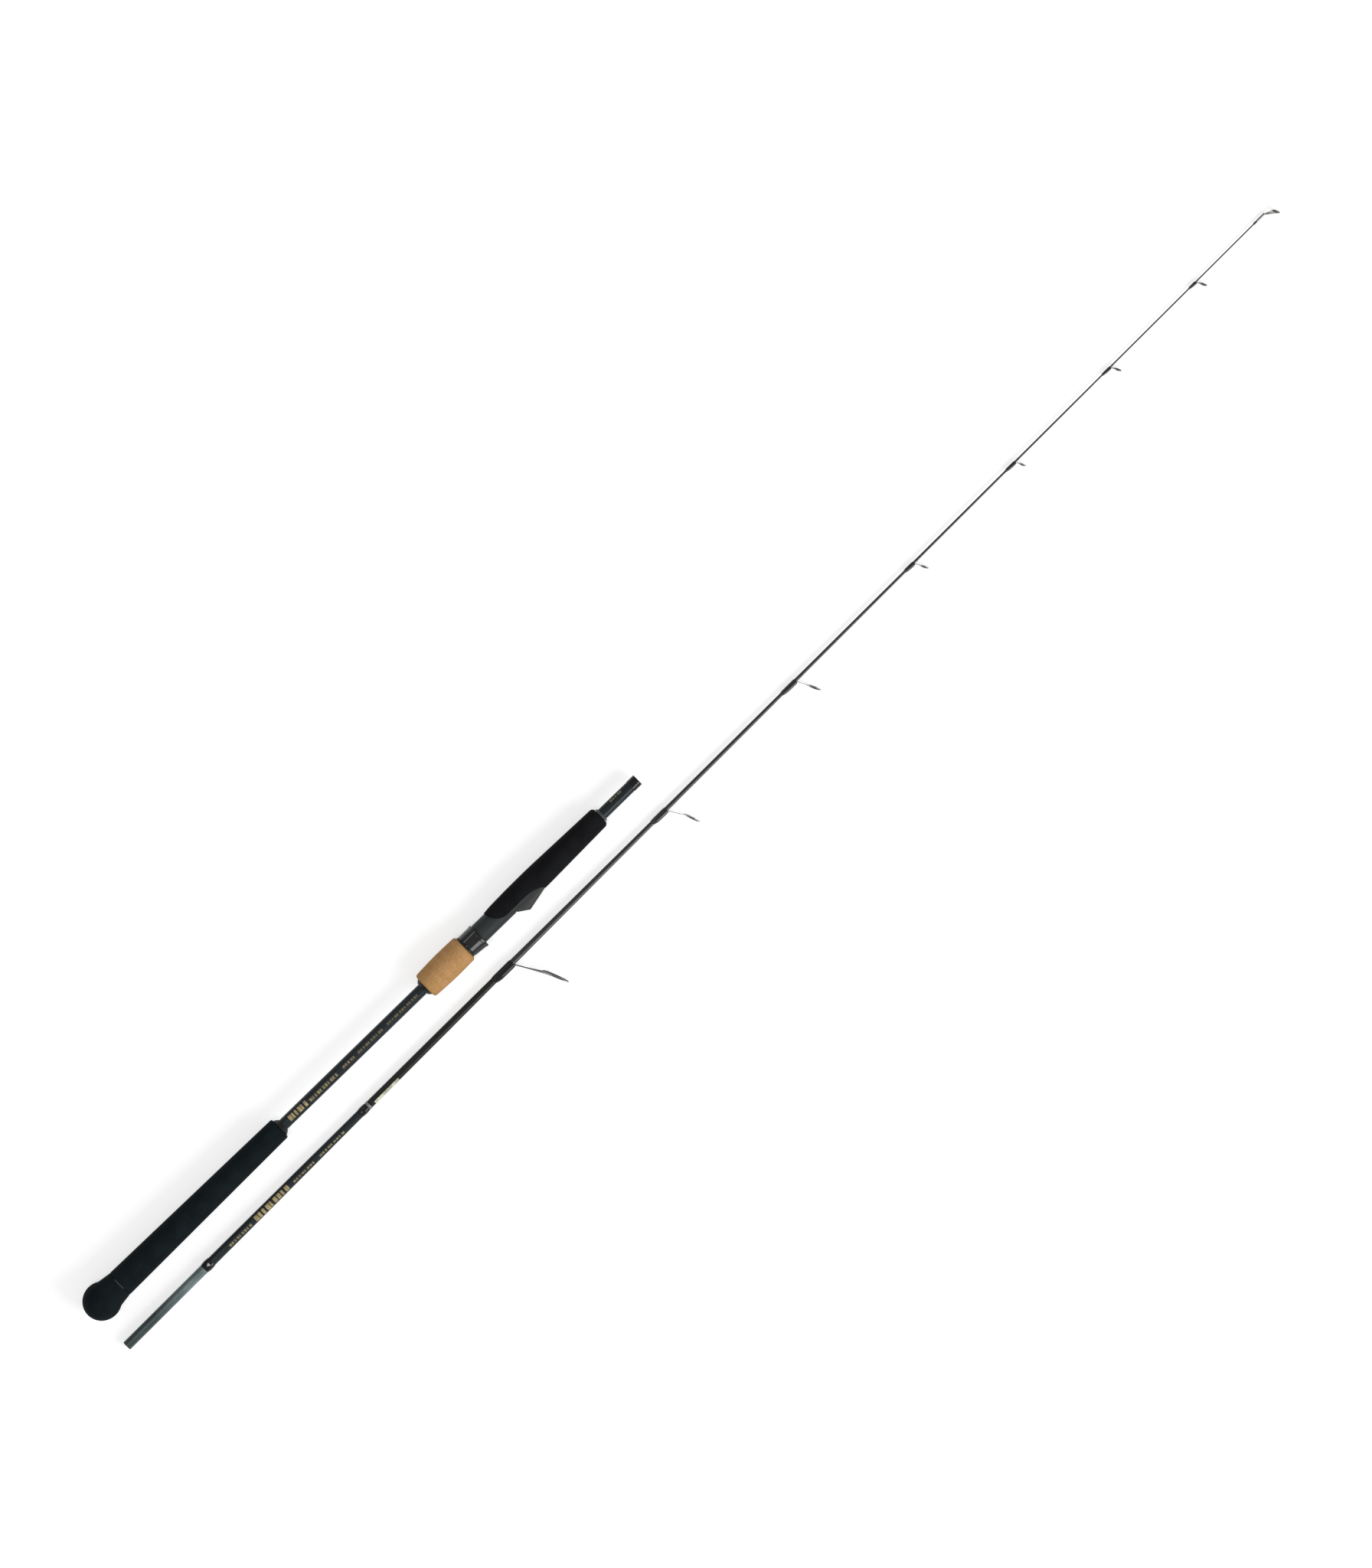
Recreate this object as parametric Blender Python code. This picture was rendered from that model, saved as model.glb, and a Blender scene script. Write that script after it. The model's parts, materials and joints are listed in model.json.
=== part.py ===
"""A two-piece light jigging rod, taken apart, with its handle and tip sections side by side.

Units are metres. Each section is modelled along its own axis: x = 0 at its butt end, the reel
and the guides towards -y, and +z up. One empty for each section then lays it on the ground.
"""

import math
from typing import NamedTuple

import bmesh
import bpy
from mathutils import Matrix, Vector

# Clearances
FIT_GAP = 0.0003
THREAD_GAP = 0.0003
GLUE_GAP = 0.00012

# Ball butt and rear grip
BALL_RADIUS = 0.0170
BALL_HALF_LENGTH = 0.0174
BALL_LENGTH = 0.0393
BALL_SHOULDER = 0.0092
BALL_NECK_RADIUS = 0.0126
REAR_GRIP_LENGTH = 0.1935
REAR_GRIP_BACK_RADIUS = 0.0128
REAR_GRIP_FRONT_RADIUS = 0.0105
GRIP_CHAMFER = 0.0012
REAR_GRIP_CHECK_LENGTH = 0.0036
REAR_GRIP_CHECK_RADIUS = 0.0086

# Handle blank and its socket
HANDLE_BLANK_RADIUS = 0.00533
MOUTH_RADIUS = 0.00515
HANDLE_BLANK_WALL = 0.0011
BLANK_SEAT_IN_BALL = 0.0270
BARE_BLANK_LENGTH = 0.1690
SOCKET_RADIUS = 0.00455
SOCKET_DEPTH = 0.0980
MOUTH_TUBE_LENGTH = 0.0430
MOUTH_WRAP_LENGTH = 0.0090
MOUTH_WRAP_RADIUS = 0.00553

# Reel seat
SEAT_CHECK_LENGTH = 0.0029
SEAT_CHECK_BACK_RADIUS = 0.0066
SEAT_CHECK_FRONT_RADIUS = 0.0091
BARREL_RADIUS = 0.0095
BARREL_BORE_RADIUS = 0.0070
BARREL_LENGTH = 0.1470
THREAD_PITCH = 0.0030
THREAD_CORE_RADIUS = 0.0086
THREAD_CREST_RADIUS = 0.0094
THREAD_BASE_WIDTH = 0.0017
THREAD_CREST_WIDTH = 0.0009
THREAD_ROOTING = 0.0004
KEYWAY_WIDTH = 0.0030
KEYWAY_FLOOR_RADIUS = 0.00845
KEYWAY_ANGLE = math.radians(225)
HOOD_TRAVEL = 0.0150
BED_FLAT_DEPTH = 0.0003
FIXED_HOOD_INSET = 0.0129
FIXED_HOOD_RISE = 0.0097
FIXED_HOOD_LENGTH = 0.0315
FIXED_HOOD_PEAK = 0.0160
FIXED_HOOD_FRONT_HEIGHT = 0.0113
FIXED_HOOD_WIDTH = 0.0130
FIXED_HOOD_NARROWING = 0.12
FIXED_HOOD_WALL = 0.0011
FIXED_HOOD_POCKET_LENGTH = 0.0200
FIXED_HOOD_POCKET_TAPER = 0.7
FIXED_HOOD_ROOT = 0.0066
FIXED_HOOD_POCKET_FLOOR = 0.0089
FIXED_HOOD_SQUARENESS = 0.75
FIXED_HOOD_ARCH_STEPS = 12
FIXED_HOOD_STATIONS = (0.0, 0.4, 0.7, 1.0)
FIXED_HOOD_ROOT_TURNS = (-36, -18, 0, 18, 36)
ARBOR_LENGTH = 0.0180
ARBOR_INSET = 0.0040

# Moving hood, lock nut and cork
CORK_LENGTH = 0.0482
CORK_BACK_RADIUS = 0.0125
CORK_MIDDLE_RADIUS = 0.0135
CORK_FRONT_RADIUS = 0.0130
CORK_BACK_ROUNDING = 0.0018
CORK_FRONT_ROUNDING = 0.0012
CORK_BARREL_GAP = 0.0004
NUT_RADIUS = 0.0105
NUT_LENGTH = 0.0200
NUT_COLLAR_RADIUS = 0.0109
NUT_COLLAR_LENGTH = 0.0014
NUT_GROOVE_EASE = 1.15
HOOD_LENGTH = 0.0147
HOOD_BACK_RADIUS = 0.0107
HOOD_REEL_BACK_RADIUS = 0.0113
HOOD_REEL_FRONT_RADIUS = 0.0127
HOOD_LIP_LENGTH = 0.0024
HOOD_LIP_HEIGHT = 0.0003
HOOD_WALL = 0.0010
HOOD_POCKET_LENGTH = 0.0120
HOOD_POCKET_HALF_ANGLE = math.radians(52)
HOOD_KEY_HEIGHT = 0.0006
HOOD_KEY_EDGE_SHARE = 0.02
HOOD_SWELL_SHARE = 1.5
HOOD_POCKET_STEP_SHARE = 0.8

# Foregrip
FOREGRIP_OVERHANG = 0.0220
FOREGRIP_LENGTH = 0.1319
FOREGRIP_EDGE_RADIUS = 0.0101
FOREGRIP_RADIUS = 0.01165
FOREGRIP_FRONT_RADIUS = 0.0098
FOREGRIP_CHAMFER = 0.0021
FOREGRIP_SIDE_LEVEL = 0.0050
FOREGRIP_BACK_CURVE = 0.0142
FOREGRIP_FRONT_CURVE = 0.0195
FOREGRIP_FLAT_END = 0.0345
FOREGRIP_CHECK_LENGTH = 0.0020
FOREGRIP_CHECK_RADIUS = 0.0074

# Tip section blank and its trim
TIP_LENGTH = 1.3960
TIP_BLANK_RADII = (
    (0.000, 0.00433),
    (0.100, 0.00430),
    (0.170, 0.00412),
    (0.280, 0.00365),
    (0.400, 0.00332),
    (0.500, 0.00270),
    (0.600, 0.00222),
    (0.800, 0.00162),
    (0.945, 0.00125),
    (1.080, 0.00096),
    (1.200, 0.00074),
    (1.396, 0.00060),
)
TIP_BLANK_WALL = 0.0010
TIP_BORE_LENGTH = 0.6000
FERRULE_LENGTH = 0.0953
FERRULE_WRAP_LENGTH = 0.0093
FERRULE_WRAP_RADIUS = 0.0050
TRIM_WRAP_BACK = 0.2864
TRIM_WRAP_LENGTH = 0.0092
TRIM_RING_LENGTH = 0.0024
TRIM_THREAD = 0.00030


class Guide(NamedTuple):
    """One line guide: how far back from the tip its leg leaves the blank, and its frame's size and lean."""

    from_tip: float
    ring_offset: float
    ring_diameter: float
    lean: float
    tilt: float
    wrap_length: float
    foot_width: float
    foot_height: float
    leg_width: float
    fork_share: float
    sides: int

    @property
    def root(self):
        return TIP_LENGTH - self.from_tip


GUIDES = (
    Guide(0.9225, 0.0361, 0.0250, 33, 22, 0.0226, 0.0030, 0.0011, 0.0013, 0.32, 28),
    Guide(0.7333, 0.0218, 0.0155, 33, 19, 0.0173, 0.0026, 0.0010, 0.0011, 0.40, 24),
    Guide(0.5742, 0.0165, 0.0124, 26, 25, 0.0173, 0.0022, 0.0009, 0.0010, 0.40, 20),
    Guide(0.4290, 0.0093, 0.0080, 26, 27, 0.0113, 0.0018, 0.0007, 0.0009, 0.35, 16),
    Guide(0.3044, 0.0064, 0.0066, 27, 27, 0.0117, 0.0015, 0.0006, 0.0008, 0.35, 16),
    Guide(0.1872, 0.0064, 0.0066, 27, 27, 0.0105, 0.0015, 0.0006, 0.0008, 0.35, 16),
    Guide(0.0820, 0.0064, 0.0066, 27, 27, 0.0089, 0.0015, 0.0006, 0.0008, 0.35, 16),
)
HOOP_WALL_SHARE = 0.055
HOOP_WALL_LEAST = 0.00055
HOOP_DEPTH_SHARE = 0.050
HOOP_DEPTH_LEAST = 0.0009
RING_WALL_SHARE = 0.070
RING_WALL_LEAST = 0.00070
HOOP_BEVEL_SHARE = 1 / 3
RING_FACE_SHARE = 0.7
STEM_WIDTH_SHARE = 1.5
LEG_THICKNESS = 0.0008
WRAP_THREAD = 0.00030
WRAP_OVERLAP = 0.0022
FOOT_TOE_SHARE = 0.4
WRAP_TOE_RISE = 0.45
WRAP_MIDDLE_RISE = 0.8
WRAP_MIDDLE_FOOT_HEIGHTS = 3
WRAP_ROOM = 3 * GLUE_GAP
WRAP_SIDES = 16

# Tip-top
TIP_TOP_TUBE_LENGTH = 0.0070
TIP_TOP_TUBE_WALL = 0.0003
TIP_TOP_RING_OFFSET = 0.0060
TIP_TOP_RING_DIAMETER = 0.0070
TIP_TOP_RING_AHEAD = 0.0105
TIP_TOP_TILT = 27
TIP_TOP_STRUT_WIDTH = 0.0008
TIP_TOP_WRAP_LENGTH = 0.0040
TIP_TOP_STRUT_ANGLES = (90, -25, 205)

# How the two sections lie beside each other
SECTION_SPACING = 0.0430
TIP_BUTT_AHEAD = 0.0037
SECTION_CONVERGENCE = math.radians(0.63)

# Facets round each turned piece
GRIP_SIDES = 28
BLANK_SIDES = 20
BARREL_SIDES = 24
TIP_TOP_SIDES = 16
TIP_TOP_TUBE_SIDES = 12

# Edges sharper than this stay sharp, and the tip section's rest is worked out in this many rounds
SHARP_ANGLE = math.radians(34)
SETTLE_ROUNDS = 30

# Places along the handle, worked out from the lengths above
REAR_GRIP_BACK = BALL_LENGTH + FIT_GAP
REAR_GRIP_FRONT = REAR_GRIP_BACK + REAR_GRIP_LENGTH
REAR_GRIP_CHECK_BACK = REAR_GRIP_FRONT + FIT_GAP
REAR_GRIP_CHECK_FRONT = REAR_GRIP_CHECK_BACK + REAR_GRIP_CHECK_LENGTH
SEAT_CHECK_BACK = REAR_GRIP_CHECK_FRONT + BARE_BLANK_LENGTH
SEAT_BACK = SEAT_CHECK_BACK + SEAT_CHECK_LENGTH + FIT_GAP
CORK_FRONT = SEAT_BACK + CORK_LENGTH
COLLAR_BACK = CORK_FRONT + FIT_GAP
NUT_FRONT = COLLAR_BACK + NUT_COLLAR_LENGTH
NUT_BACK = CORK_FRONT - NUT_LENGTH
HOOD_BACK = NUT_FRONT + FIT_GAP
HOOD_FRONT = HOOD_BACK + HOOD_LENGTH
SEAT_FRONT = SEAT_BACK + BARREL_LENGTH
FIXED_HOOD_FRONT = SEAT_FRONT - FIXED_HOOD_INSET
FIXED_HOOD_BACK = FIXED_HOOD_FRONT - FIXED_HOOD_LENGTH
FIXED_HOOD_TOP = FIXED_HOOD_BACK + FIXED_HOOD_RISE
FIXED_HOOD_FALL = (FIXED_HOOD_PEAK - FIXED_HOOD_FRONT_HEIGHT) / (FIXED_HOOD_FRONT - FIXED_HOOD_TOP)
THREAD_FRONT = NUT_FRONT + HOOD_TRAVEL + FIT_GAP
FOREGRIP_START = FIXED_HOOD_BACK - FOREGRIP_OVERHANG
FOREGRIP_FRONT = FOREGRIP_START + FOREGRIP_LENGTH
FOREGRIP_CHECK_BACK = FOREGRIP_FRONT + FIT_GAP
FOREGRIP_CHECK_FRONT = FOREGRIP_CHECK_BACK + FOREGRIP_CHECK_LENGTH
MOUTH = FOREGRIP_CHECK_FRONT + MOUTH_TUBE_LENGTH
BLANK_BACK = BALL_LENGTH - BLANK_SEAT_IN_BALL
BLANK_FIT_RADIUS = HANDLE_BLANK_RADIUS + GLUE_GAP


def material(name, color, roughness, metallic=0.0):
    """A plain Principled finish for one piece."""
    finish = bpy.data.materials.new(name)
    finish.use_nodes = True
    shader = finish.node_tree.nodes["Principled BSDF"]
    shader.inputs["Base Color"].default_value = (*color, 1.0)
    shader.inputs["Roughness"].default_value = roughness
    shader.inputs["Metallic"].default_value = metallic
    return finish


def empty(name, parent, matrix):
    """A named axis that pieces hang from."""
    axis = bpy.data.objects.new(name, None)
    bpy.context.scene.collection.objects.link(axis)
    axis.parent = parent
    axis.matrix_local = matrix
    return axis


def piece(name, mesh, parent, finish=None, shift=None):
    """Turns a bmesh into a named object under its section's axis. A piece with no finish is a helper."""
    if shift is not None:
        mesh.transform(shift)
    data = bpy.data.meshes.new(name)
    mesh.to_mesh(data)
    mesh.free()
    data.shade_smooth()
    data.set_sharp_from_angle(angle=SHARP_ANGLE)
    made = bpy.data.objects.new(name, data)
    bpy.context.scene.collection.objects.link(made)
    made.parent = parent
    if finish is None:
        made.hide_render = True
        made.display_type = "WIRE"
    else:
        data.materials.append(finish)
    return made


def combine(target, other, operation):
    """Joins a helper to a piece, or cuts it away."""
    modifier = target.modifiers.new(f"{operation.lower()} {other.name}", "BOOLEAN")
    modifier.operation = operation
    modifier.solver = "EXACT"
    modifier.object = other


def turned(outline, sides):
    """Spins a chain of (x, radius) points round the x axis. A chain that ends off the axis is closed up."""
    mesh = bmesh.new()
    points = [mesh.verts.new((x, 0.0, radius)) for x, radius in outline]
    edges = [mesh.edges.new(pair) for pair in zip(points, points[1:])]
    if outline[0][1] > 0:
        edges.append(mesh.edges.new((points[-1], points[0])))
    bmesh.ops.spin(
        mesh, geom=points + edges, cent=(0, 0, 0), axis=(1, 0, 0),
        angle=math.tau, steps=sides, use_merge=True,
    )
    bmesh.ops.remove_doubles(mesh, verts=mesh.verts, dist=1e-6)
    bmesh.ops.recalc_face_normals(mesh, faces=mesh.faces)
    return mesh


def tube(back, front, outer, inner, sides):
    """A plain turned tube, whose outer radius may differ at its two ends."""
    outer_back, outer_front = outer if isinstance(outer, tuple) else (outer, outer)
    return turned([(back, inner), (back, outer_back), (front, outer_front), (front, inner)], sides)


def circle(x, radius, sides, shift=0.0):
    """A ring of points round the axis, moved by shift towards the reel side."""
    angles = [math.tau * k / sides for k in range(sides)]
    return [Vector((x, -shift - radius * math.cos(a), radius * math.sin(a))) for a in angles]


def polar(x, radius_at, angles):
    """A ring of points whose radius depends on the angle from the reel side."""
    return [Vector((x, -radius_at(a) * math.cos(a), radius_at(a) * math.sin(a))) for a in angles]


def skin(mesh, rings):
    """Quads between neighbouring rings of points. It gives back the rings' vertices."""
    made = [[mesh.verts.new(point) for point in ring] for ring in rings]
    for back, front in zip(made, made[1:]):
        for k in range(len(back)):
            after = (k + 1) % len(back)
            mesh.faces.new((back[k], back[after], front[after], front[k]))
    return made


def lofted(rings):
    """A closed solid through rings of points, capped at both ends."""
    mesh = bmesh.new()
    made = skin(mesh, rings)
    mesh.faces.new(made[0])
    mesh.faces.new(made[-1])
    bmesh.ops.recalc_face_normals(mesh, faces=mesh.faces)
    return mesh


def sleeve(outer_rings, inner_rings):
    """A closed tube between an outer and an inner skin with the same number of points."""
    mesh = bmesh.new()
    outer = skin(mesh, outer_rings)
    inner = skin(mesh, inner_rings)
    for end in (0, -1):
        for k in range(len(outer[end])):
            after = (k + 1) % len(outer[end])
            mesh.faces.new((outer[end][k], outer[end][after], inner[end][after], inner[end][k]))
    bmesh.ops.recalc_face_normals(mesh, faces=mesh.faces)
    return mesh


def bar(start, end, width, depth, side):
    """A straight bar of rectangular section. Its width lies along the given side direction."""
    start, end = Vector(start), Vector(end)
    along = (end - start).normalized()
    across = (Vector(side) - along * along.dot(Vector(side))).normalized() * width / 2
    up = along.cross(across).normalized() * depth / 2
    corners = (across + up, across - up, -across - up, -across + up)
    return lofted([[point + corner for corner in corners] for point in (start, end)])


def ridge(back, front, base_radius, top_radius, base_width, top_width):
    """A right-hand screw thread's ridge round the x axis, with a flat end at each limit."""
    steps = round((front - back) / THREAD_PITCH * BARREL_SIDES)
    rings = []
    for k in range(steps + 1):
        x = back + THREAD_PITCH * k / BARREL_SIDES
        angle = math.tau * x / THREAD_PITCH
        out = Vector((0, math.cos(angle), math.sin(angle)))
        rings.append([
            Vector((x - base_width / 2, 0, 0)) + out * base_radius,
            Vector((x - top_width / 2, 0, 0)) + out * top_radius,
            Vector((x + top_width / 2, 0, 0)) + out * top_radius,
            Vector((x + base_width / 2, 0, 0)) + out * base_radius,
        ])
    return lofted(rings)


def arc(centre_x, centre_r, radius_x, radius_r, start, end, steps):
    """Points along a quarter or less of an ellipse, with angles in degrees."""
    angles = [math.radians(start + (end - start) * k / steps) for k in range(steps + 1)]
    return [(centre_x + radius_x * math.cos(a), centre_r + radius_r * math.sin(a)) for a in angles]


def butt_ball(parent):
    finish = material("ball foam", (0.010, 0.013, 0.014), 0.80)
    shoulder = math.degrees(math.acos(BALL_SHOULDER / BALL_HALF_LENGTH))
    outline = arc(BALL_HALF_LENGTH, 0.0, BALL_HALF_LENGTH, BALL_RADIUS, 180, shoulder, 10)
    outline[0] = (0.0, 0.0)
    outline += [
        (BALL_LENGTH - GRIP_CHAMFER / 2, BALL_NECK_RADIUS + GRIP_CHAMFER / 4),
        (BALL_LENGTH, BALL_NECK_RADIUS - GRIP_CHAMFER / 4),
        (BALL_LENGTH, BLANK_FIT_RADIUS),
        (BLANK_BACK - FIT_GAP, BLANK_FIT_RADIUS),
        (BLANK_BACK - FIT_GAP, 0.0),
    ]
    piece("butt_ball", turned(outline, GRIP_SIDES), parent, finish)


def rear_grip(parent):
    foam = material("rear grip foam", (0.010, 0.013, 0.014), 0.78)
    outline = [
        (REAR_GRIP_BACK, BLANK_FIT_RADIUS),
        (REAR_GRIP_BACK, REAR_GRIP_BACK_RADIUS - GRIP_CHAMFER / 2),
        (REAR_GRIP_BACK + GRIP_CHAMFER / 2, REAR_GRIP_BACK_RADIUS),
        (REAR_GRIP_FRONT - GRIP_CHAMFER, REAR_GRIP_FRONT_RADIUS),
        (REAR_GRIP_FRONT, REAR_GRIP_FRONT_RADIUS - GRIP_CHAMFER),
        (REAR_GRIP_FRONT, BLANK_FIT_RADIUS),
    ]
    piece("rear_grip", turned(outline, GRIP_SIDES), parent, foam)
    check = [
        (REAR_GRIP_CHECK_BACK, BLANK_FIT_RADIUS),
        (REAR_GRIP_CHECK_BACK, REAR_GRIP_CHECK_RADIUS),
        (REAR_GRIP_CHECK_FRONT, HANDLE_BLANK_RADIUS + 2 * FIT_GAP),
        (REAR_GRIP_CHECK_FRONT, BLANK_FIT_RADIUS),
    ]
    rubber = material("rear grip check", (0.008, 0.010, 0.010), 0.45)
    piece("rear_grip_check", turned(check, BARREL_SIDES), parent, rubber)


def handle_blank(parent):
    finish = material("handle blank lacquer", (0.012, 0.021, 0.027), 0.22)
    bore = HANDLE_BLANK_RADIUS - HANDLE_BLANK_WALL
    socket_back = MOUTH - SOCKET_DEPTH
    outline = [
        (BLANK_BACK, bore),
        (BLANK_BACK, HANDLE_BLANK_RADIUS),
        (FOREGRIP_FRONT, HANDLE_BLANK_RADIUS),
        (MOUTH, MOUTH_RADIUS),
        (MOUTH, SOCKET_RADIUS),
        (socket_back, SOCKET_RADIUS),
        (socket_back, bore),
    ]
    piece("handle_blank", turned(outline, BARREL_SIDES), parent, finish)
    wrap = material("mouth wrap", (0.005, 0.006, 0.006), 0.12)
    back = MOUTH - MOUTH_WRAP_LENGTH
    wrapping = tube(back, MOUTH, MOUTH_WRAP_RADIUS, MOUTH_RADIUS + GLUE_GAP, BARREL_SIDES)
    piece("mouth_wrap", wrapping, parent, wrap)


def seat_check(parent):
    finish = material("seat check", (0.008, 0.010, 0.010), 0.35)
    front = SEAT_CHECK_BACK + SEAT_CHECK_LENGTH
    radii = (SEAT_CHECK_BACK_RADIUS, SEAT_CHECK_FRONT_RADIUS)
    ring = tube(SEAT_CHECK_BACK, front, radii, BLANK_FIT_RADIUS, BARREL_SIDES)
    piece("seat_check", ring, parent, finish)


def hood_arch(x, slant, height, half_width, root):
    """One section of the fixed hood: a squarish arch over the barrel, closed inside the barrel's wall."""
    points = []
    for k in range(FIXED_HOOD_ARCH_STEPS + 1):
        angle = math.pi * k / FIXED_HOOD_ARCH_STEPS
        level = abs(math.cos(angle)) ** FIXED_HOOD_SQUARENESS
        across = math.copysign(level, math.cos(angle)) * half_width
        out = root + (height - root) * math.sin(angle) ** FIXED_HOOD_SQUARENESS
        points.append(Vector((x + max(0.0, out - BARREL_RADIUS) * slant, -out, across)))
    return points


def hood_outside(grow):
    """The fixed hood's outer form, grown by a clearance. Its lip slants forward."""
    middle = (BARREL_BORE_RADIUS + BARREL_RADIUS) / 2
    sections = []
    for k, share in enumerate(FIXED_HOOD_STATIONS):
        x = FIXED_HOOD_BACK - grow + (FIXED_HOOD_LENGTH + 2 * grow) * share
        height = FIXED_HOOD_PEAK + grow - max(0.0, x - FIXED_HOOD_TOP) * FIXED_HOOD_FALL
        half_width = (FIXED_HOOD_WIDTH / 2 + grow) * (1.0 - FIXED_HOOD_NARROWING * share)
        slant = FIXED_HOOD_RISE / (FIXED_HOOD_PEAK - BARREL_RADIUS) if k == 0 else 0.0
        section = hood_arch(x, slant, height, half_width, FIXED_HOOD_ROOT)
        for turn in FIXED_HOOD_ROOT_TURNS:
            across = middle * math.sin(math.radians(turn))
            section.append(Vector((x, -middle * math.cos(math.radians(turn)), across)))
        sections.append(section)
    return lofted(sections)


def hood_pocket():
    """The room inside the fixed hood that takes the front end of the reel's foot."""
    back = FIXED_HOOD_BACK - FIXED_HOOD_WALL
    front = FIXED_HOOD_BACK + FIXED_HOOD_POCKET_LENGTH
    sections = []
    for x, narrow in ((back, 1.0), (FIXED_HOOD_TOP, 1.0), (front, FIXED_HOOD_POCKET_TAPER)):
        height = FIXED_HOOD_PEAK - FIXED_HOOD_WALL - max(0.0, x - FIXED_HOOD_TOP) * FIXED_HOOD_FALL
        half_width = (FIXED_HOOD_WIDTH / 2 - FIXED_HOOD_WALL) * narrow
        sections.append(hood_arch(x, 0.0, height, half_width, FIXED_HOOD_POCKET_FLOOR))
    return lofted(sections)


def reel_seat(parent):
    finish = material("reel seat", (0.036, 0.043, 0.047), 0.55)
    thread_back = NUT_BACK - FIT_GAP
    outline = [
        (SEAT_BACK, BARREL_BORE_RADIUS),
        (SEAT_BACK, THREAD_CORE_RADIUS),
        (THREAD_FRONT, THREAD_CORE_RADIUS),
        (THREAD_FRONT, BARREL_RADIUS),
        (SEAT_FRONT, BARREL_RADIUS),
        (SEAT_FRONT, BARREL_BORE_RADIUS),
    ]
    barrel = piece("reel_seat", turned(outline, BARREL_SIDES), parent, finish)
    thread = ridge(
        thread_back, THREAD_FRONT - THREAD_CREST_WIDTH,
        THREAD_CORE_RADIUS - THREAD_ROOTING, THREAD_CREST_RADIUS,
        THREAD_BASE_WIDTH + THREAD_ROOTING, THREAD_CREST_WIDTH,
    )
    combine(barrel, piece("seat_thread", thread, parent), "UNION")
    combine(barrel, piece("fixed_hood_form", hood_outside(0.0), parent), "UNION")
    combine(barrel, piece("fixed_hood_pocket", hood_pocket(), parent), "DIFFERENCE")
    keyway = bar(
        (NUT_BACK - 2 * FIT_GAP, 0, 0), (HOOD_FRONT + HOOD_TRAVEL + FIT_GAP, 0, 0),
        KEYWAY_WIDTH, 2 * FIT_GAP, (0, 0, 1),
    )
    spread = Matrix.Diagonal((1, (BARREL_RADIUS - KEYWAY_FLOOR_RADIUS) / FIT_GAP, 1, 1))
    lift = Matrix.Translation((0, -BARREL_RADIUS, 0))
    turn = Matrix.Rotation(-KEYWAY_ANGLE, 4, "X")
    combine(barrel, piece("keyway", keyway, parent, shift=turn @ lift @ spread), "DIFFERENCE")
    bed_back = HOOD_FRONT + FIT_GAP
    bed_front = FIXED_HOOD_BACK - FIXED_HOOD_WALL / 2
    level = -(BARREL_RADIUS - BED_FLAT_DEPTH) - BARREL_RADIUS / 4
    flat = bar((bed_back, level, 0), (bed_front, level, 0), BARREL_RADIUS, BARREL_RADIUS / 2, (0, 0, 1))
    combine(barrel, piece("bed_flat", flat, parent), "DIFFERENCE")


def seat_arbors(parent):
    finish = material("seat arbor", (0.30, 0.29, 0.27), 0.85)
    outer = BARREL_BORE_RADIUS - GLUE_GAP
    back = SEAT_BACK + ARBOR_INSET
    arbor = tube(back, back + ARBOR_LENGTH, outer, BLANK_FIT_RADIUS, BLANK_SIDES)
    piece("rear_arbor", arbor, parent, finish)
    front = SEAT_FRONT - ARBOR_INSET
    arbor = tube(front - ARBOR_LENGTH, front, outer, BLANK_FIT_RADIUS, BLANK_SIDES)
    piece("front_arbor", arbor, parent, finish)


def foregrip_cutter():
    """The region on the reel side where the foregrip is cut away along a curve like a long S."""
    reach = 2 * FOREGRIP_RADIUS
    flat_end = FOREGRIP_START + FOREGRIP_FLAT_END
    tail = FOREGRIP_RADIUS - FOREGRIP_SIDE_LEVEL + FIT_GAP
    outline = arc(
        FOREGRIP_START + FOREGRIP_BACK_CURVE, FOREGRIP_RADIUS,
        FOREGRIP_BACK_CURVE, FOREGRIP_RADIUS + FOREGRIP_SIDE_LEVEL, 180, 270, 7,
    )
    outline += arc(
        flat_end, -FOREGRIP_SIDE_LEVEL - tail, FOREGRIP_FRONT_CURVE, tail, 90, 0, 6,
    )
    outline += [
        (flat_end + FOREGRIP_FRONT_CURVE, -reach),
        (FOREGRIP_START - FIT_GAP, -reach),
        (FOREGRIP_START - FIT_GAP, FOREGRIP_RADIUS),
    ]
    return lofted([[Vector((x, y, z)) for x, y in outline] for z in (-reach, reach)])


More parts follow.
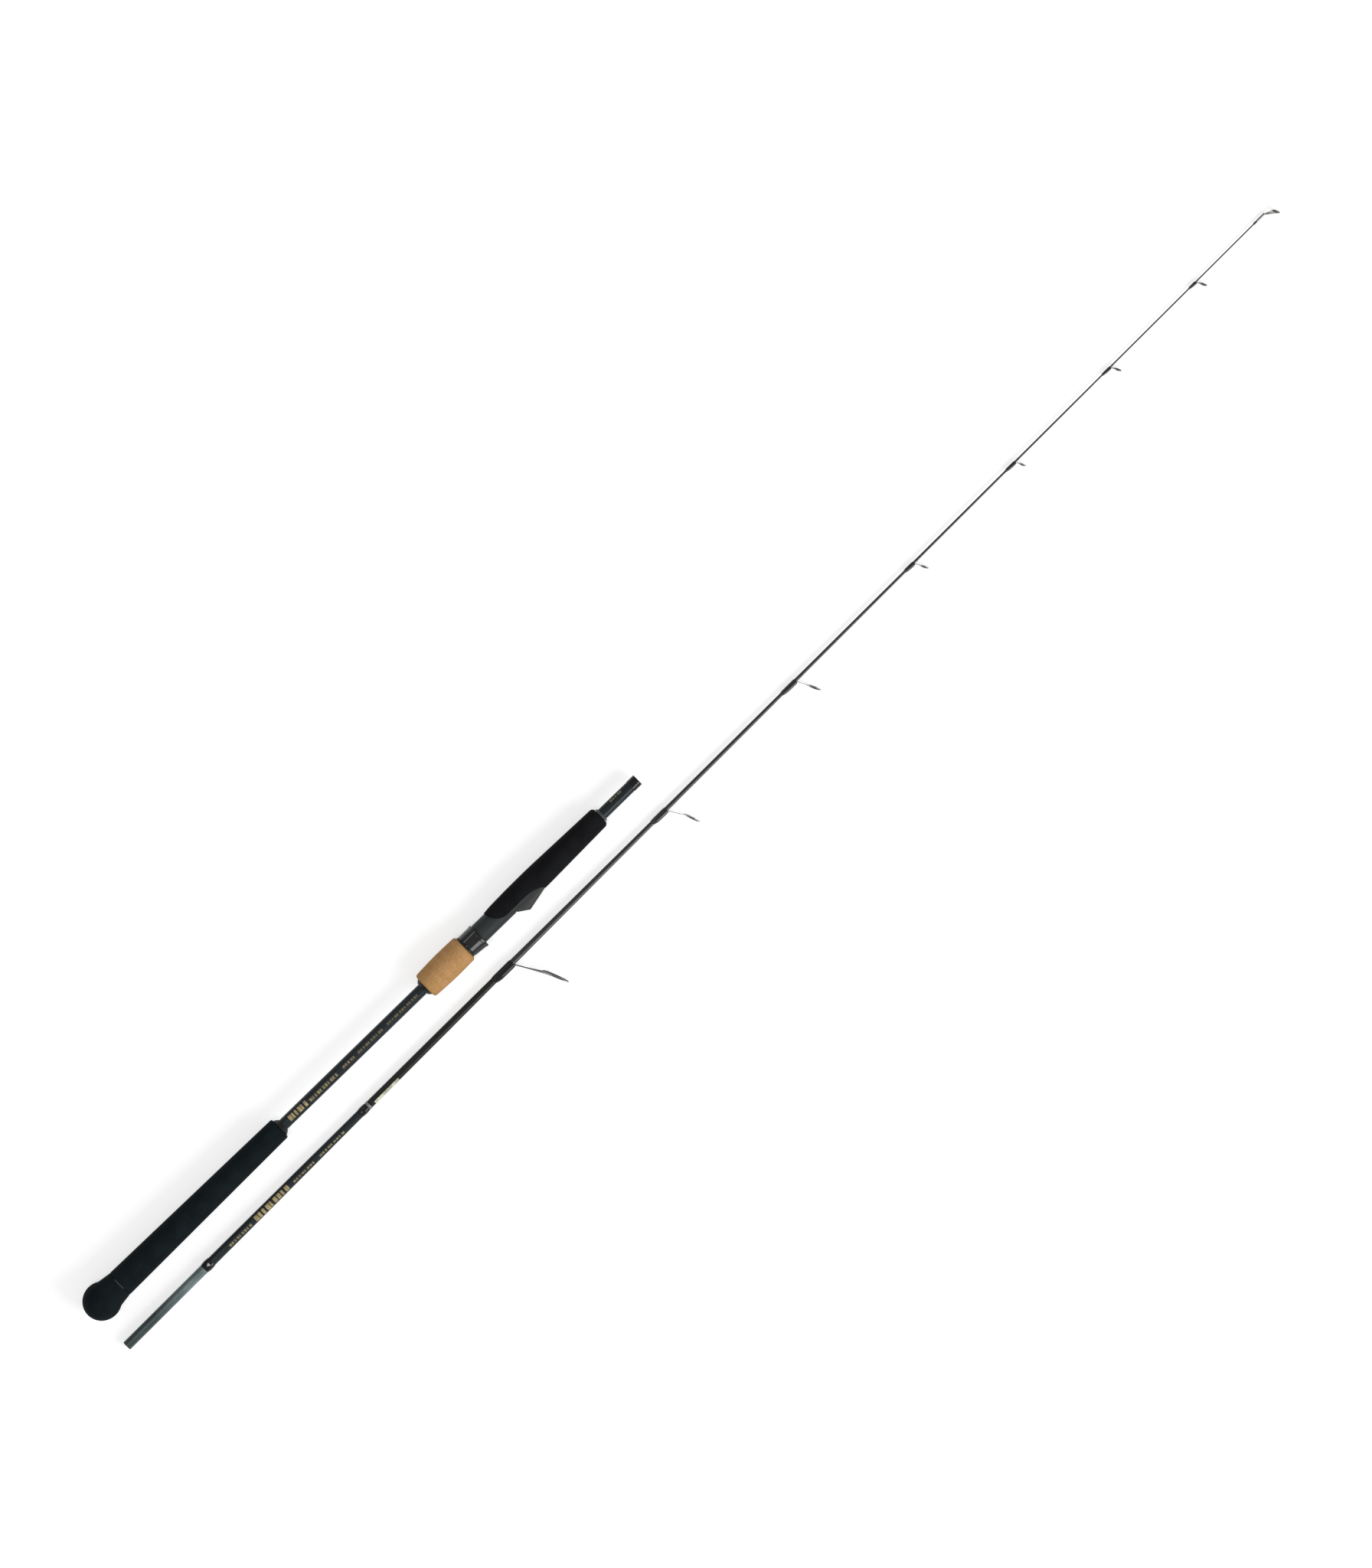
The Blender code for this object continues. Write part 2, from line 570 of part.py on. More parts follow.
def foregrip(parent):
    foam = material("foregrip foam", (0.009, 0.012, 0.013), 0.80)
    bore = BARREL_RADIUS + GLUE_GAP
    step = SEAT_FRONT + FIT_GAP
    full = FOREGRIP_START + FOREGRIP_FLAT_END
    outline = [
        (FOREGRIP_START, bore),
        (FOREGRIP_START, FOREGRIP_EDGE_RADIUS),
        (FOREGRIP_START + FOREGRIP_BACK_CURVE / 2, (FOREGRIP_EDGE_RADIUS + FOREGRIP_RADIUS) / 2),
        (FOREGRIP_START + FOREGRIP_BACK_CURVE * 2, FOREGRIP_RADIUS - FIT_GAP / 2),
        (full + FOREGRIP_FRONT_CURVE, FOREGRIP_RADIUS),
        (FOREGRIP_FRONT - FOREGRIP_CHAMFER, FOREGRIP_FRONT_RADIUS),
        (FOREGRIP_FRONT, FOREGRIP_FRONT_RADIUS - FOREGRIP_CHAMFER),
        (FOREGRIP_FRONT, BLANK_FIT_RADIUS),
        (step, BLANK_FIT_RADIUS),
        (step, bore),
    ]
    grip = piece("foregrip", turned(outline, GRIP_SIDES), parent, foam)
    combine(grip, piece("foregrip_cut", foregrip_cutter(), parent), "DIFFERENCE")
    combine(grip, piece("hood_room", hood_outside(FIT_GAP), parent), "DIFFERENCE")
    metal = material("foregrip check", (0.15, 0.16, 0.17), 0.30, 1.0)
    radii = (FOREGRIP_CHECK_RADIUS, HANDLE_BLANK_RADIUS + 2 * FIT_GAP)
    ring = tube(FOREGRIP_CHECK_BACK, FOREGRIP_CHECK_FRONT, radii, BLANK_FIT_RADIUS, BARREL_SIDES)
    piece("foregrip_check", ring, parent, metal)


def moving_hood(parent):
    finish = material("moving hood", (0.006, 0.007, 0.008), 0.12)
    bore = BARREL_RADIUS + FIT_GAP
    key_half = math.atan((KEYWAY_WIDTH / 2 - FIT_GAP) / bore)
    lip = HOOD_FRONT - HOOD_LIP_LENGTH
    pocket_back = HOOD_FRONT - HOOD_POCKET_LENGTH
    angles = [math.tau * k / BARREL_SIDES for k in range(BARREL_SIDES)]
    key_edge = key_half * (1 + HOOD_KEY_EDGE_SHARE)
    angles += [KEYWAY_ANGLE - key_edge, KEYWAY_ANGLE - key_half]
    angles += [KEYWAY_ANGLE + key_half, KEYWAY_ANGLE + key_edge]
    angles.sort()

    def bump(angle, half_angle):
        """1 on the reel side, easing to 0 at the half angle on either side."""
        off = min(angle, math.tau - angle)
        return 0.5 + 0.5 * math.cos(math.pi * min(1.0, off / half_angle))

    def outer(x, extra):
        along = (x - HOOD_BACK) / HOOD_LENGTH
        reel = HOOD_REEL_BACK_RADIUS + (HOOD_REEL_FRONT_RADIUS - HOOD_REEL_BACK_RADIUS) * along
        reach = HOOD_POCKET_HALF_ANGLE * HOOD_SWELL_SHARE
        return lambda a: HOOD_BACK_RADIUS + extra + (reel - HOOD_BACK_RADIUS) * bump(a, reach)

    def inner(x, share):
        along = (x - HOOD_BACK) / HOOD_LENGTH
        reel = HOOD_REEL_BACK_RADIUS + (HOOD_REEL_FRONT_RADIUS - HOOD_REEL_BACK_RADIUS) * along
        room = max(0.0, reel - HOOD_WALL - bore) * share

        def radius_at(a):
            if abs(a - KEYWAY_ANGLE) < (key_half + key_edge) / 2:
                return bore - HOOD_KEY_HEIGHT
            return bore + room * bump(a, HOOD_POCKET_HALF_ANGLE)

        return radius_at

    step = HOOD_LIP_HEIGHT
    outer_stations = [(HOOD_BACK, 0.0), (lip - step, 0.0), (lip, step), (HOOD_FRONT, step)]
    inner_stations = [
        (HOOD_BACK, 0.0), (pocket_back, 0.0), (pocket_back + step, HOOD_POCKET_STEP_SHARE), (HOOD_FRONT, 1.0),
    ]
    mesh = sleeve(
        [polar(x, outer(x, extra), angles) for x, extra in outer_stations],
        [polar(x, inner(x, share), angles) for x, share in inner_stations],
    )
    piece("moving_hood", mesh, parent, finish)


def lock_nut(parent):
    finish = material("lock nut", (0.010, 0.011, 0.012), 0.40)
    bore = THREAD_CORE_RADIUS + THREAD_GAP
    outline = [
        (NUT_BACK, bore),
        (NUT_BACK, NUT_RADIUS),
        (COLLAR_BACK, NUT_RADIUS),
        (COLLAR_BACK, NUT_COLLAR_RADIUS),
        (NUT_FRONT, NUT_COLLAR_RADIUS),
        (NUT_FRONT, bore),
    ]
    nut = piece("lock_nut", turned(outline, BARREL_SIDES), parent, finish)
    slope = (THREAD_BASE_WIDTH - THREAD_CREST_WIDTH) / (THREAD_CREST_RADIUS - THREAD_CORE_RADIUS)
    spread = 2 * THREAD_GAP * NUT_GROOVE_EASE
    top = THREAD_CREST_RADIUS + THREAD_GAP
    base = bore - THREAD_ROOTING
    turns = math.ceil((NUT_FRONT - NUT_BACK) / THREAD_PITCH) + 1
    back = NUT_BACK - THREAD_PITCH
    groove = ridge(
        back, back + (turns + 1) * THREAD_PITCH, base, top,
        THREAD_BASE_WIDTH + (THREAD_CORE_RADIUS - base) * slope + spread,
        THREAD_CREST_WIDTH - THREAD_GAP * slope + spread,
    )
    combine(nut, piece("nut_groove", groove, parent), "DIFFERENCE")


def cork_grip(parent):
    finish = material("cork", (0.53, 0.31, 0.15), 0.75)
    barrel_room = THREAD_CREST_RADIUS + CORK_BARREL_GAP
    nut_room = NUT_RADIUS + FIT_GAP
    shelf = NUT_BACK - FIT_GAP
    back_centre = SEAT_BACK + CORK_BACK_ROUNDING
    front_centre = CORK_FRONT - CORK_FRONT_ROUNDING
    outline = [(SEAT_BACK, barrel_room)]
    outline += arc(
        back_centre, CORK_BACK_RADIUS - CORK_BACK_ROUNDING,
        CORK_BACK_ROUNDING, CORK_BACK_ROUNDING, 180, 90, 4,
    )
    outline.append(((SEAT_BACK + CORK_FRONT) / 2, CORK_MIDDLE_RADIUS))
    outline += arc(
        front_centre, CORK_FRONT_RADIUS - CORK_FRONT_ROUNDING,
        CORK_FRONT_ROUNDING, CORK_FRONT_ROUNDING, 90, 0, 3,
    )
    outline += [(CORK_FRONT, nut_room), (shelf, nut_room), (shelf, barrel_room)]
    piece("cork_grip", turned(outline, GRIP_SIDES), parent, finish)


def blank_radius(x):
    """The tip section blank's outer radius at a distance from its butt end."""
    for (back, wide), (front, thin) in zip(TIP_BLANK_RADII, TIP_BLANK_RADII[1:]):
        if x <= front:
            return wide + (thin - wide) * (x - back) / (front - back)
    return TIP_BLANK_RADII[-1][1]


def tip_blank(parent):
    finish = material("tip blank lacquer", (0.012, 0.021, 0.027), 0.25)
    bore_back = blank_radius(0.0) - TIP_BLANK_WALL
    bore_front = blank_radius(TIP_BORE_LENGTH) - TIP_BLANK_WALL
    outline = [(TIP_BORE_LENGTH, 0.0), (TIP_BORE_LENGTH, bore_front), (0.0, bore_back)]
    outline += [(x, radius) for x, radius in TIP_BLANK_RADII if x < TIP_LENGTH]
    outline += [(TIP_LENGTH, blank_radius(TIP_LENGTH)), (TIP_LENGTH, 0.0)]
    piece("tip_blank", turned(outline, BLANK_SIDES), parent, finish)


def tip_trim(parent):
    thread = material("black trim wrap", (0.005, 0.006, 0.006), 0.12)
    silver = material("silver trim ring", (0.30, 0.30, 0.31), 0.30, 0.8)
    back, front = FERRULE_LENGTH, FERRULE_LENGTH + FERRULE_WRAP_LENGTH
    stop = tube(back, front, FERRULE_WRAP_RADIUS, blank_radius(back) + GLUE_GAP, BLANK_SIDES)
    piece("ferrule_wrap", stop, parent, thread)
    back, front = TRIM_WRAP_BACK, TRIM_WRAP_BACK + TRIM_WRAP_LENGTH
    inner = blank_radius(back) + GLUE_GAP
    piece("trim_wrap", tube(back, front, inner + TRIM_THREAD, inner, BLANK_SIDES), parent, thread)
    back, front = front + FIT_GAP, front + FIT_GAP + TRIM_RING_LENGTH
    piece("trim_ring", tube(back, front, inner + TRIM_THREAD, inner, BLANK_SIDES), parent, silver)


def wall_of(diameter, share, least):
    return max(diameter * share, least)


def hoop_and_ring(name, diameter, sides, place, parent, metal, ceramic):
    """A guide's metal hoop, the ceramic ring glued into it, and the room for the ring in the frame."""
    hoop_wall = wall_of(diameter, HOOP_WALL_SHARE, HOOP_WALL_LEAST)
    depth = wall_of(diameter, HOOP_DEPTH_SHARE, HOOP_DEPTH_LEAST)
    ring_wall = wall_of(diameter, RING_WALL_SHARE, RING_WALL_LEAST)
    outer = diameter / 2
    bore = outer - hoop_wall
    ring_outer = bore - GLUE_GAP
    hoop_outline = [
        (-depth / 2, bore - FIT_GAP),
        (-depth / 2, outer - hoop_wall * HOOP_BEVEL_SHARE),
        (0.0, outer),
        (depth / 2, outer - hoop_wall * HOOP_BEVEL_SHARE),
        (depth / 2, bore - FIT_GAP),
    ]
    ring_outline = [
        (-depth / 2, ring_outer),
        (-depth * RING_FACE_SHARE, ring_outer - ring_wall / 2),
        (0.0, ring_outer - ring_wall),
        (depth * RING_FACE_SHARE, ring_outer - ring_wall / 2),
        (depth / 2, ring_outer),
    ]
    piece(f"{name}_ring", turned(ring_outline, sides), parent, ceramic, shift=place)
    frame = piece(f"{name}_frame", turned(hoop_outline, sides), parent, metal, shift=place)
    reach = depth * RING_FACE_SHARE + GLUE_GAP
    room = turned([(-reach, 0.0), (-reach, bore), (reach, bore), (reach, 0.0)], sides)
    return frame, piece(f"{name}_ring_room", room, parent, shift=place)


def guide_foot(spec, heel):
    """The tapered foot that lies along the blank on the butt side of the leg."""
    toe = spec.root - spec.wrap_length + WRAP_OVERLAP
    ends = []
    for x, share in ((toe, FOOT_TOE_SHARE), (heel, 1.0)):
        low = blank_radius(x) + GLUE_GAP
        high = low + spec.foot_height * share
        half = spec.foot_width * share / 2
        ends.append([Vector((x, -low, half)), Vector((x, -high, half)),
                     Vector((x, -high, -half)), Vector((x, -low, -half))])
    return lofted(ends)


def guide_wrap(spec, name, parent, finish):
    """The thread wound over the guide's foot: a thin sleeve that tents over blank and foot."""
    rings = {"outer": [], "inner": []}
    back = spec.root - spec.wrap_length
    toe = back + WRAP_OVERLAP
    middle = toe + WRAP_MIDDLE_FOOT_HEIGHTS * spec.foot_height
    stations = [(back, 0.0), (toe - WRAP_THREAD, WRAP_TOE_RISE), (middle, WRAP_MIDDLE_RISE), (spec.root, 1.0)]
    for x, full in stations:
        radius = blank_radius(x)
        below = radius + GLUE_GAP
        above = radius + GLUE_GAP + full * (spec.foot_height + WRAP_ROOM)
        inside = (below + above) / 2
        shift = (above - below) / 2
        rings["inner"].append(circle(x, inside, WRAP_SIDES, shift))
        rings["outer"].append(circle(x, inside + WRAP_THREAD, WRAP_SIDES, shift))
    piece(f"{name}_wrap", sleeve(rings["outer"], rings["inner"]), parent, finish)


def wishbone(start, middle, spread, stem_width, leg_width, fork_share):
    """A flat Y: a stem, then two legs that splay to either side of a far middle point."""
    along = (middle - start).normalized()
    across = Vector((0, 0, 1))
    thick = along.cross(across) * LEG_THICKNESS / 2
    length = (middle - start).length
    fork = length * fork_share
    splay = math.atan2(spread, length - fork)
    half = leg_width / 2
    crotch = fork + half / math.sin(splay)
    shoulder = fork + (stem_width / 2 - half / math.cos(splay)) / math.tan(splay)
    end = (length + half * math.cos(splay), spread + half * math.sin(splay))
    outer = (end[0] - half * math.sin(splay), end[1] + half * math.cos(splay))
    inner = (end[0] + half * math.sin(splay), end[1] - half * math.cos(splay))
    side = [(0.0, stem_width / 2), (shoulder, stem_width / 2), outer, inner]
    outline = side + [(crotch, 0.0)] + [(u, -v) for u, v in reversed(side)]
    return lofted([[start + along * u + across * v + thick * way for u, v in outline] for way in (-1, 1)])


def guide(number, spec, parent, metal, ceramic, thread):
    """One single-foot guide: foot, splayed legs, hoop, ceramic ring and thread wrap."""
    name = f"guide_{number}"
    tilt, lean = math.radians(spec.tilt), math.radians(spec.lean)
    surface = blank_radius(spec.root) + GLUE_GAP
    radius = spec.ring_diameter / 2
    near = spec.ring_offset - radius * math.cos(tilt)
    near_x = spec.root + (near - surface) * math.tan(lean)
    centre = Vector((near_x + radius * math.sin(tilt), -spec.ring_offset, 0))
    place = Matrix.Translation(centre) @ Matrix.Rotation(tilt, 4, "Z")
    frame, ring_room = hoop_and_ring(
        name, spec.ring_diameter, spec.sides, place, parent, metal, ceramic,
    )

    start = Vector((spec.root + FIT_GAP, -surface - LEG_THICKNESS / 2, 0))
    bore = radius - wall_of(spec.ring_diameter, HOOP_WALL_SHARE, HOOP_WALL_LEAST)
    meet = bore + spec.leg_width / 2
    sink = math.asin(meet / (centre - start).length)
    toward = (centre - place @ Vector((0, 1, 0))) * meet * math.sin(sink)
    legs = wishbone(
        start, centre - toward, meet * math.cos(sink),
        spec.leg_width * STEM_WIDTH_SHARE, spec.leg_width, spec.fork_share,
    )
    combine(frame, piece(f"{name}_legs", legs, parent), "UNION")
    foot = guide_foot(spec, start.x + LEG_THICKNESS)
    combine(frame, piece(f"{name}_foot", foot, parent), "UNION")
    combine(frame, ring_room, "DIFFERENCE")
    guide_wrap(spec, name, parent, thread)


def tip_top(parent, metal, ceramic, thread):
    """The last guide: a tube over the blank's end, three struts and a tilted ring."""
    back = TIP_LENGTH - TIP_TOP_TUBE_LENGTH
    front = TIP_LENGTH + FIT_GAP
    inner = blank_radius(back) + GLUE_GAP
    outer = inner + TIP_TOP_TUBE_WALL
    tilt = math.radians(TIP_TOP_TILT)
    centre = Vector((TIP_LENGTH + TIP_TOP_RING_AHEAD, -TIP_TOP_RING_OFFSET, 0))
    place = Matrix.Translation(centre) @ Matrix.Rotation(tilt, 4, "Z")
    diameter = TIP_TOP_RING_DIAMETER
    frame, ring_room = hoop_and_ring("tip_top", diameter, TIP_TOP_SIDES, place, parent, metal, ceramic)
    cap = front + 2 * outer
    outline = [(front, 0.0), (front, inner), (back, inner), (back, outer), (cap, outer), (cap, 0.0)]
    combine(frame, piece("tip_top_tube", turned(outline, TIP_TOP_TUBE_SIDES), parent), "UNION")
    meet = diameter / 2 - wall_of(diameter, HOOP_WALL_SHARE, HOOP_WALL_LEAST) / 2
    for k, angle in enumerate(TIP_TOP_STRUT_ANGLES):
        turn = math.radians(angle)
        root = Vector((front + outer, 0, math.cos(turn) * outer / 2))
        on_hoop = place @ Vector((0, math.sin(turn) * meet, math.cos(turn) * meet))
        width = TIP_TOP_STRUT_WIDTH + k * GLUE_GAP
        strut = bar(root, on_hoop, width, width, (0, 0, 1))
        combine(frame, piece(f"tip_top_strut_{k}", strut, parent), "UNION")
    combine(frame, ring_room, "DIFFERENCE")
    wrap_front = back - FIT_GAP
    wrap_back = wrap_front - TIP_TOP_WRAP_LENGTH
    wrap_inner = blank_radius(wrap_back) + GLUE_GAP
    radii = (wrap_inner + WRAP_THREAD, outer)
    wrapping = tube(wrap_back, wrap_front, radii, wrap_inner, TIP_TOP_TUBE_SIDES)
    piece("tip_top_wrap", wrapping, parent, thread)


def handle_place():
    """Where the handle lies: on its ball and its cork, converging a little with the tip section."""
    support = (SEAT_BACK + CORK_FRONT) / 2
    droop = math.atan((BALL_RADIUS - CORK_MIDDLE_RADIUS) / (support - BALL_HALF_LENGTH))
    turn = Matrix.Rotation(-SECTION_CONVERGENCE, 4, "Z") @ Matrix.Rotation(droop, 4, "Y")
    height = BALL_RADIUS + BALL_HALF_LENGTH * math.sin(droop)
    return Matrix.Translation((-TIP_BUTT_AHEAD, SECTION_SPACING, height)) @ turn


def tip_place():
    """Where the tip section lies: on its ferrule wrap, its tip-top and its first guide's hoop."""
    first = GUIDES[0]
    tilt = math.radians(first.tilt)
    support = FERRULE_LENGTH + FERRULE_WRAP_LENGTH / 2
    roll = 0.0
    slope = 0.0
    for _ in range(SETTLE_ROUNDS):
        half_span = math.hypot(math.cos(tilt) * math.sin(roll), math.cos(roll))
        tip_height = TIP_TOP_RING_DIAMETER / 2 * half_span - TIP_TOP_RING_OFFSET * math.sin(roll)
        slope = (FERRULE_WRAP_RADIUS - tip_height) / (TIP_LENGTH + TIP_TOP_RING_AHEAD - support)
        axis_height = FERRULE_WRAP_RADIUS - slope * (first.root - support)
        lift = first.ring_diameter / 2 * half_span - axis_height
        roll = math.asin(lift / first.ring_offset)
    turn = Matrix.Rotation(math.atan(slope), 4, "Y") @ Matrix.Rotation(-roll, 4, "X")
    return Matrix.Translation((0, 0, FERRULE_WRAP_RADIUS + support * slope)) @ turn


def centre_on_ground(layout):
    """Moves everything so that the origin is at the middle of the rod's box, on the ground."""
    bpy.context.view_layer.update()
    graph = bpy.context.evaluated_depsgraph_get()
    corners = []
    for made in bpy.context.scene.objects:
        if made.type == "MESH" and not made.hide_render:
            ready = made.evaluated_get(graph)
            corners += [ready.matrix_world @ vertex.co for vertex in ready.data.vertices]
    low = Vector(min(corner[k] for corner in corners) for k in range(3))
    high = Vector(max(corner[k] for corner in corners) for k in range(3))
    layout.location = (-(low.x + high.x) / 2, -(low.y + high.y) / 2, -low.z)


def main():
    for made in list(bpy.data.objects):
        bpy.data.objects.remove(made, do_unlink=True)
    layout = empty("layout", None, Matrix.Identity(4))
    handle_axis = empty("handle_axis", layout, handle_place())
    butt_ball(handle_axis)
    rear_grip(handle_axis)
    handle_blank(handle_axis)
    seat_check(handle_axis)
    reel_seat(handle_axis)
    seat_arbors(handle_axis)
    foregrip(handle_axis)
    hood_axis = empty("hood_axis", handle_axis, Matrix.Identity(4))
    moving_hood(hood_axis)
    nut_axis = empty("nut_axis", hood_axis, Matrix.Identity(4))
    lock_nut(nut_axis)
    cork_grip(nut_axis)
    tip_axis = empty("tip_axis", layout, tip_place())
    tip_blank(tip_axis)
    tip_trim(tip_axis)
    metal = material("guide frame", (0.10, 0.10, 0.105), 0.30, 0.9)
    ceramic = material("guide ring", (0.022, 0.023, 0.025), 0.15)
    thread = material("guide wrap", (0.005, 0.006, 0.006), 0.12)
    for number, spec in enumerate(GUIDES, start=1):
        guide(number, spec, tip_axis, metal, ceramic, thread)
    tip_top(tip_axis, metal, ceramic, thread)
    centre_on_ground(layout)


main()
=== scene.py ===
"""A light jigging rod in two sections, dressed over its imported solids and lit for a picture.

Each section has its own local frame, in metres: x runs from its butt end, -y faces the reel and the
guides, and +z is up. Pieces are modelled there and then laid in place, and their patterns read the
same local frame.
"""

import json
import math
from typing import NamedTuple

import bmesh
import bpy
from bpy.props import FloatProperty, FloatVectorProperty, IntProperty, PointerProperty
from mathutils import Matrix, Vector


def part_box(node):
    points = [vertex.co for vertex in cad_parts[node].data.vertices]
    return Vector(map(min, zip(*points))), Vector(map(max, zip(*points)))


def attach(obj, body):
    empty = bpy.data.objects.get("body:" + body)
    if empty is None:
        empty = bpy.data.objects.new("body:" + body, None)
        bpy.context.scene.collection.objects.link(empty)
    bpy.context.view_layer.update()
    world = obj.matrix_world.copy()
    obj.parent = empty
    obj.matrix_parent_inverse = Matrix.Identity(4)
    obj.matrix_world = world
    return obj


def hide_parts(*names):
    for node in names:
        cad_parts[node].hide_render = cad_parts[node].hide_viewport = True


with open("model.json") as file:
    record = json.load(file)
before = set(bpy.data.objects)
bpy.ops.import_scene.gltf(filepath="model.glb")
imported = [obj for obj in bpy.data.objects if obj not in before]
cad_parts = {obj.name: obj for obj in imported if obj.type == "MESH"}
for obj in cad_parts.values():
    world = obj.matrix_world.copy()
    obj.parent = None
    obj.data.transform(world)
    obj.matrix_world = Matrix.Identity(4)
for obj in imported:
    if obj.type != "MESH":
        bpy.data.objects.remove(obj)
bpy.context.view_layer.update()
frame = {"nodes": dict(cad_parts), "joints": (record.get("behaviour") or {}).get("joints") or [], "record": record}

bl_info = {
    "name": "Light Jigging Rod",
    "version": (1, 0, 0),
    "blender": (4, 5, 0),
    "location": "3D View > Sidebar > Rod",
    "description": "Builds a two-piece jigging rod and its studio over the rod's packed solids",
    "category": "Add Mesh",
}

# The bodies that the two sections lie on
HANDLE = "handle"
TIP = "tip_section"

# Clearances
FIT_GAP = 0.0003
GLUE_GAP = 0.00012
CUTTER_REACH = 0.002

# Ball butt and rear grip
BALL_RADIUS = 0.0170
BALL_HALF_LENGTH = 0.0174
BALL_LENGTH = 0.0393
BALL_NECK_RADIUS = 0.0126
BALL_SHOULDER_ANGLE = 58
REAR_GRIP_LENGTH = 0.1935
REAR_GRIP_BACK_RADIUS = 0.0128
REAR_GRIP_FRONT_RADIUS = 0.0105
REAR_CHECK_LENGTH = 0.0036
REAR_CHECK_RADIUS = 0.0086

# Handle tube and its socket
TUBE_RADIUS = 0.00533
TUBE_WALL = 0.0011
MOUTH_RADIUS = 0.00515
TUBE_BACK = 0.0123
BARE_TUBE_LENGTH = 0.1690
SOCKET_RADIUS = 0.00455
SOCKET_DEPTH = 0.0980
MOUTH_TUBE_LENGTH = 0.0430
MOUTH_WRAP_LENGTH = 0.0090
MOUTH_WRAP_RADIUS = 0.00553
MOUTH_WRAP_CLEARANCE = 0.00004

# Reel seat
SEAT_CHECK_LENGTH = 0.0029
SEAT_CHECK_BACK_RADIUS = 0.0066
SEAT_CHECK_FRONT_RADIUS = 0.0091
BARREL_RADIUS = 0.0095
BARREL_BORE_RADIUS = 0.0070
BARREL_LENGTH = 0.1470
THREAD_PITCH = 0.0030
THREAD_CORE_RADIUS = 0.0086
THREAD_CREST_RADIUS = 0.0094
THREAD_WIDTH = 0.0017
THREAD_ROOT_DEPTH = 0.0003
HOOD_TRAVEL = 0.0150
FIXED_HOOD_INSET = 0.0129
FIXED_HOOD_LENGTH = 0.0315
FIXED_HOOD_RISE = 0.0097
FIXED_HOOD_PEAK = 0.0160
FIXED_HOOD_FRONT_HEIGHT = 0.0113
FIXED_HOOD_WIDTH = 0.0130
FIXED_HOOD_NARROWING = 0.12
FIXED_HOOD_WALL = 0.0011
FIXED_HOOD_POCKET_LENGTH = 0.0200
FIXED_HOOD_POCKET_FLOOR = 0.0089
FIXED_HOOD_ROOT = 0.0066
FIXED_HOOD_ROOT_TURNS = (-36, -18, 0, 18, 36)
FIXED_HOOD_SQUARENESS = 0.75
# Where the fixed hood's painted shade begins, as a share of its peak height
FIXED_HOOD_SHADE_SHARE = 0.72
KEYWAY_WIDTH = 0.0030
KEYWAY_FLOOR_RADIUS = 0.00845
KEYWAY_ANGLE = math.radians(225)
BED_FLAT_DEPTH = 0.0003

# Cork, collar and moving hood
CORK_LENGTH = 0.0482
CORK_BACK_RADIUS = 0.0125
CORK_MIDDLE_RADIUS = 0.0135
CORK_FRONT_RADIUS = 0.0130
CORK_BORE_RADIUS = 0.0098
CORK_BACK_ROUNDING = 0.0026
CORK_FRONT_ROUNDING = 0.0024
NUT_LENGTH = 0.0200
COLLAR_RADIUS = 0.0109
COLLAR_LENGTH = 0.0014
HOOD_LENGTH = 0.0147
HOOD_BACK_RADIUS = 0.0107
HOOD_REEL_BACK_RADIUS = 0.0113
HOOD_REEL_FRONT_RADIUS = 0.0127
HOOD_LIP_LENGTH = 0.0024
HOOD_LIP_HEIGHT = 0.0003
HOOD_EDGE = 0.0003
HOOD_WALL = 0.0010
HOOD_POCKET_LENGTH = 0.0120
HOOD_POCKET_HALF_ANGLE = math.radians(52)
HOOD_SWELL_SHARE = 1.5
HOOD_KEY_HEIGHT = 0.0006
HOOD_KEY_EDGE_SHARE = 0.02

# Foregrip
FOREGRIP_OVERHANG = 0.0220
FOREGRIP_LENGTH = 0.1319
FOREGRIP_EDGE_RADIUS = 0.0101
FOREGRIP_RADIUS = 0.01165
FOREGRIP_FRONT_RADIUS = 0.0098
FOREGRIP_CHAMFER = 0.0021
FOREGRIP_SIDE_LEVEL = 0.0050
FOREGRIP_BACK_CURVE = 0.0142
FOREGRIP_FRONT_CURVE = 0.0195
FOREGRIP_FLAT_END = 0.0345
WINDING_CHECK_LENGTH = 0.0020
WINDING_CHECK_RADIUS = 0.0074

# Tip section
TIP_LENGTH = 1.3960
TIP_RADII = (
    (0.000, 0.00433),
    (0.100, 0.00430),
    (0.170, 0.00412),
    (0.280, 0.00365),
    (0.400, 0.00332),
    (0.500, 0.00270),
    (0.600, 0.00222),
    (0.800, 0.00162),
    (0.945, 0.00125),
    (1.080, 0.00096),
    (1.200, 0.00074),
    (1.396, 0.00060),
)
TIP_WALL = 0.0010
TIP_EASING = 0.0120
TIP_SOLID_FROM = 0.6000
FERRULE_LENGTH = 0.0953
FERRULE_WRAP_LENGTH = 0.0093
FERRULE_WRAP_RADIUS = 0.0050
TRIM_WRAP_BACK = 0.2864
TRIM_WRAP_LENGTH = 0.0092
TRIM_RING_LENGTH = 0.0024
TRIM_THREAD = 0.00030


class Guide(NamedTuple):
    """One line guide: how far back from the tip its leg leaves the blank, and its frame's size and lean."""

    from_tip: float
    ring_offset: float
    ring_diameter: float
    lean: float
    tilt: float
    wrap_length: float
    foot_width: float
    foot_height: float
    leg_width: float
    fork_share: float

    @property
    def root(self):
        return TIP_LENGTH - self.from_tip


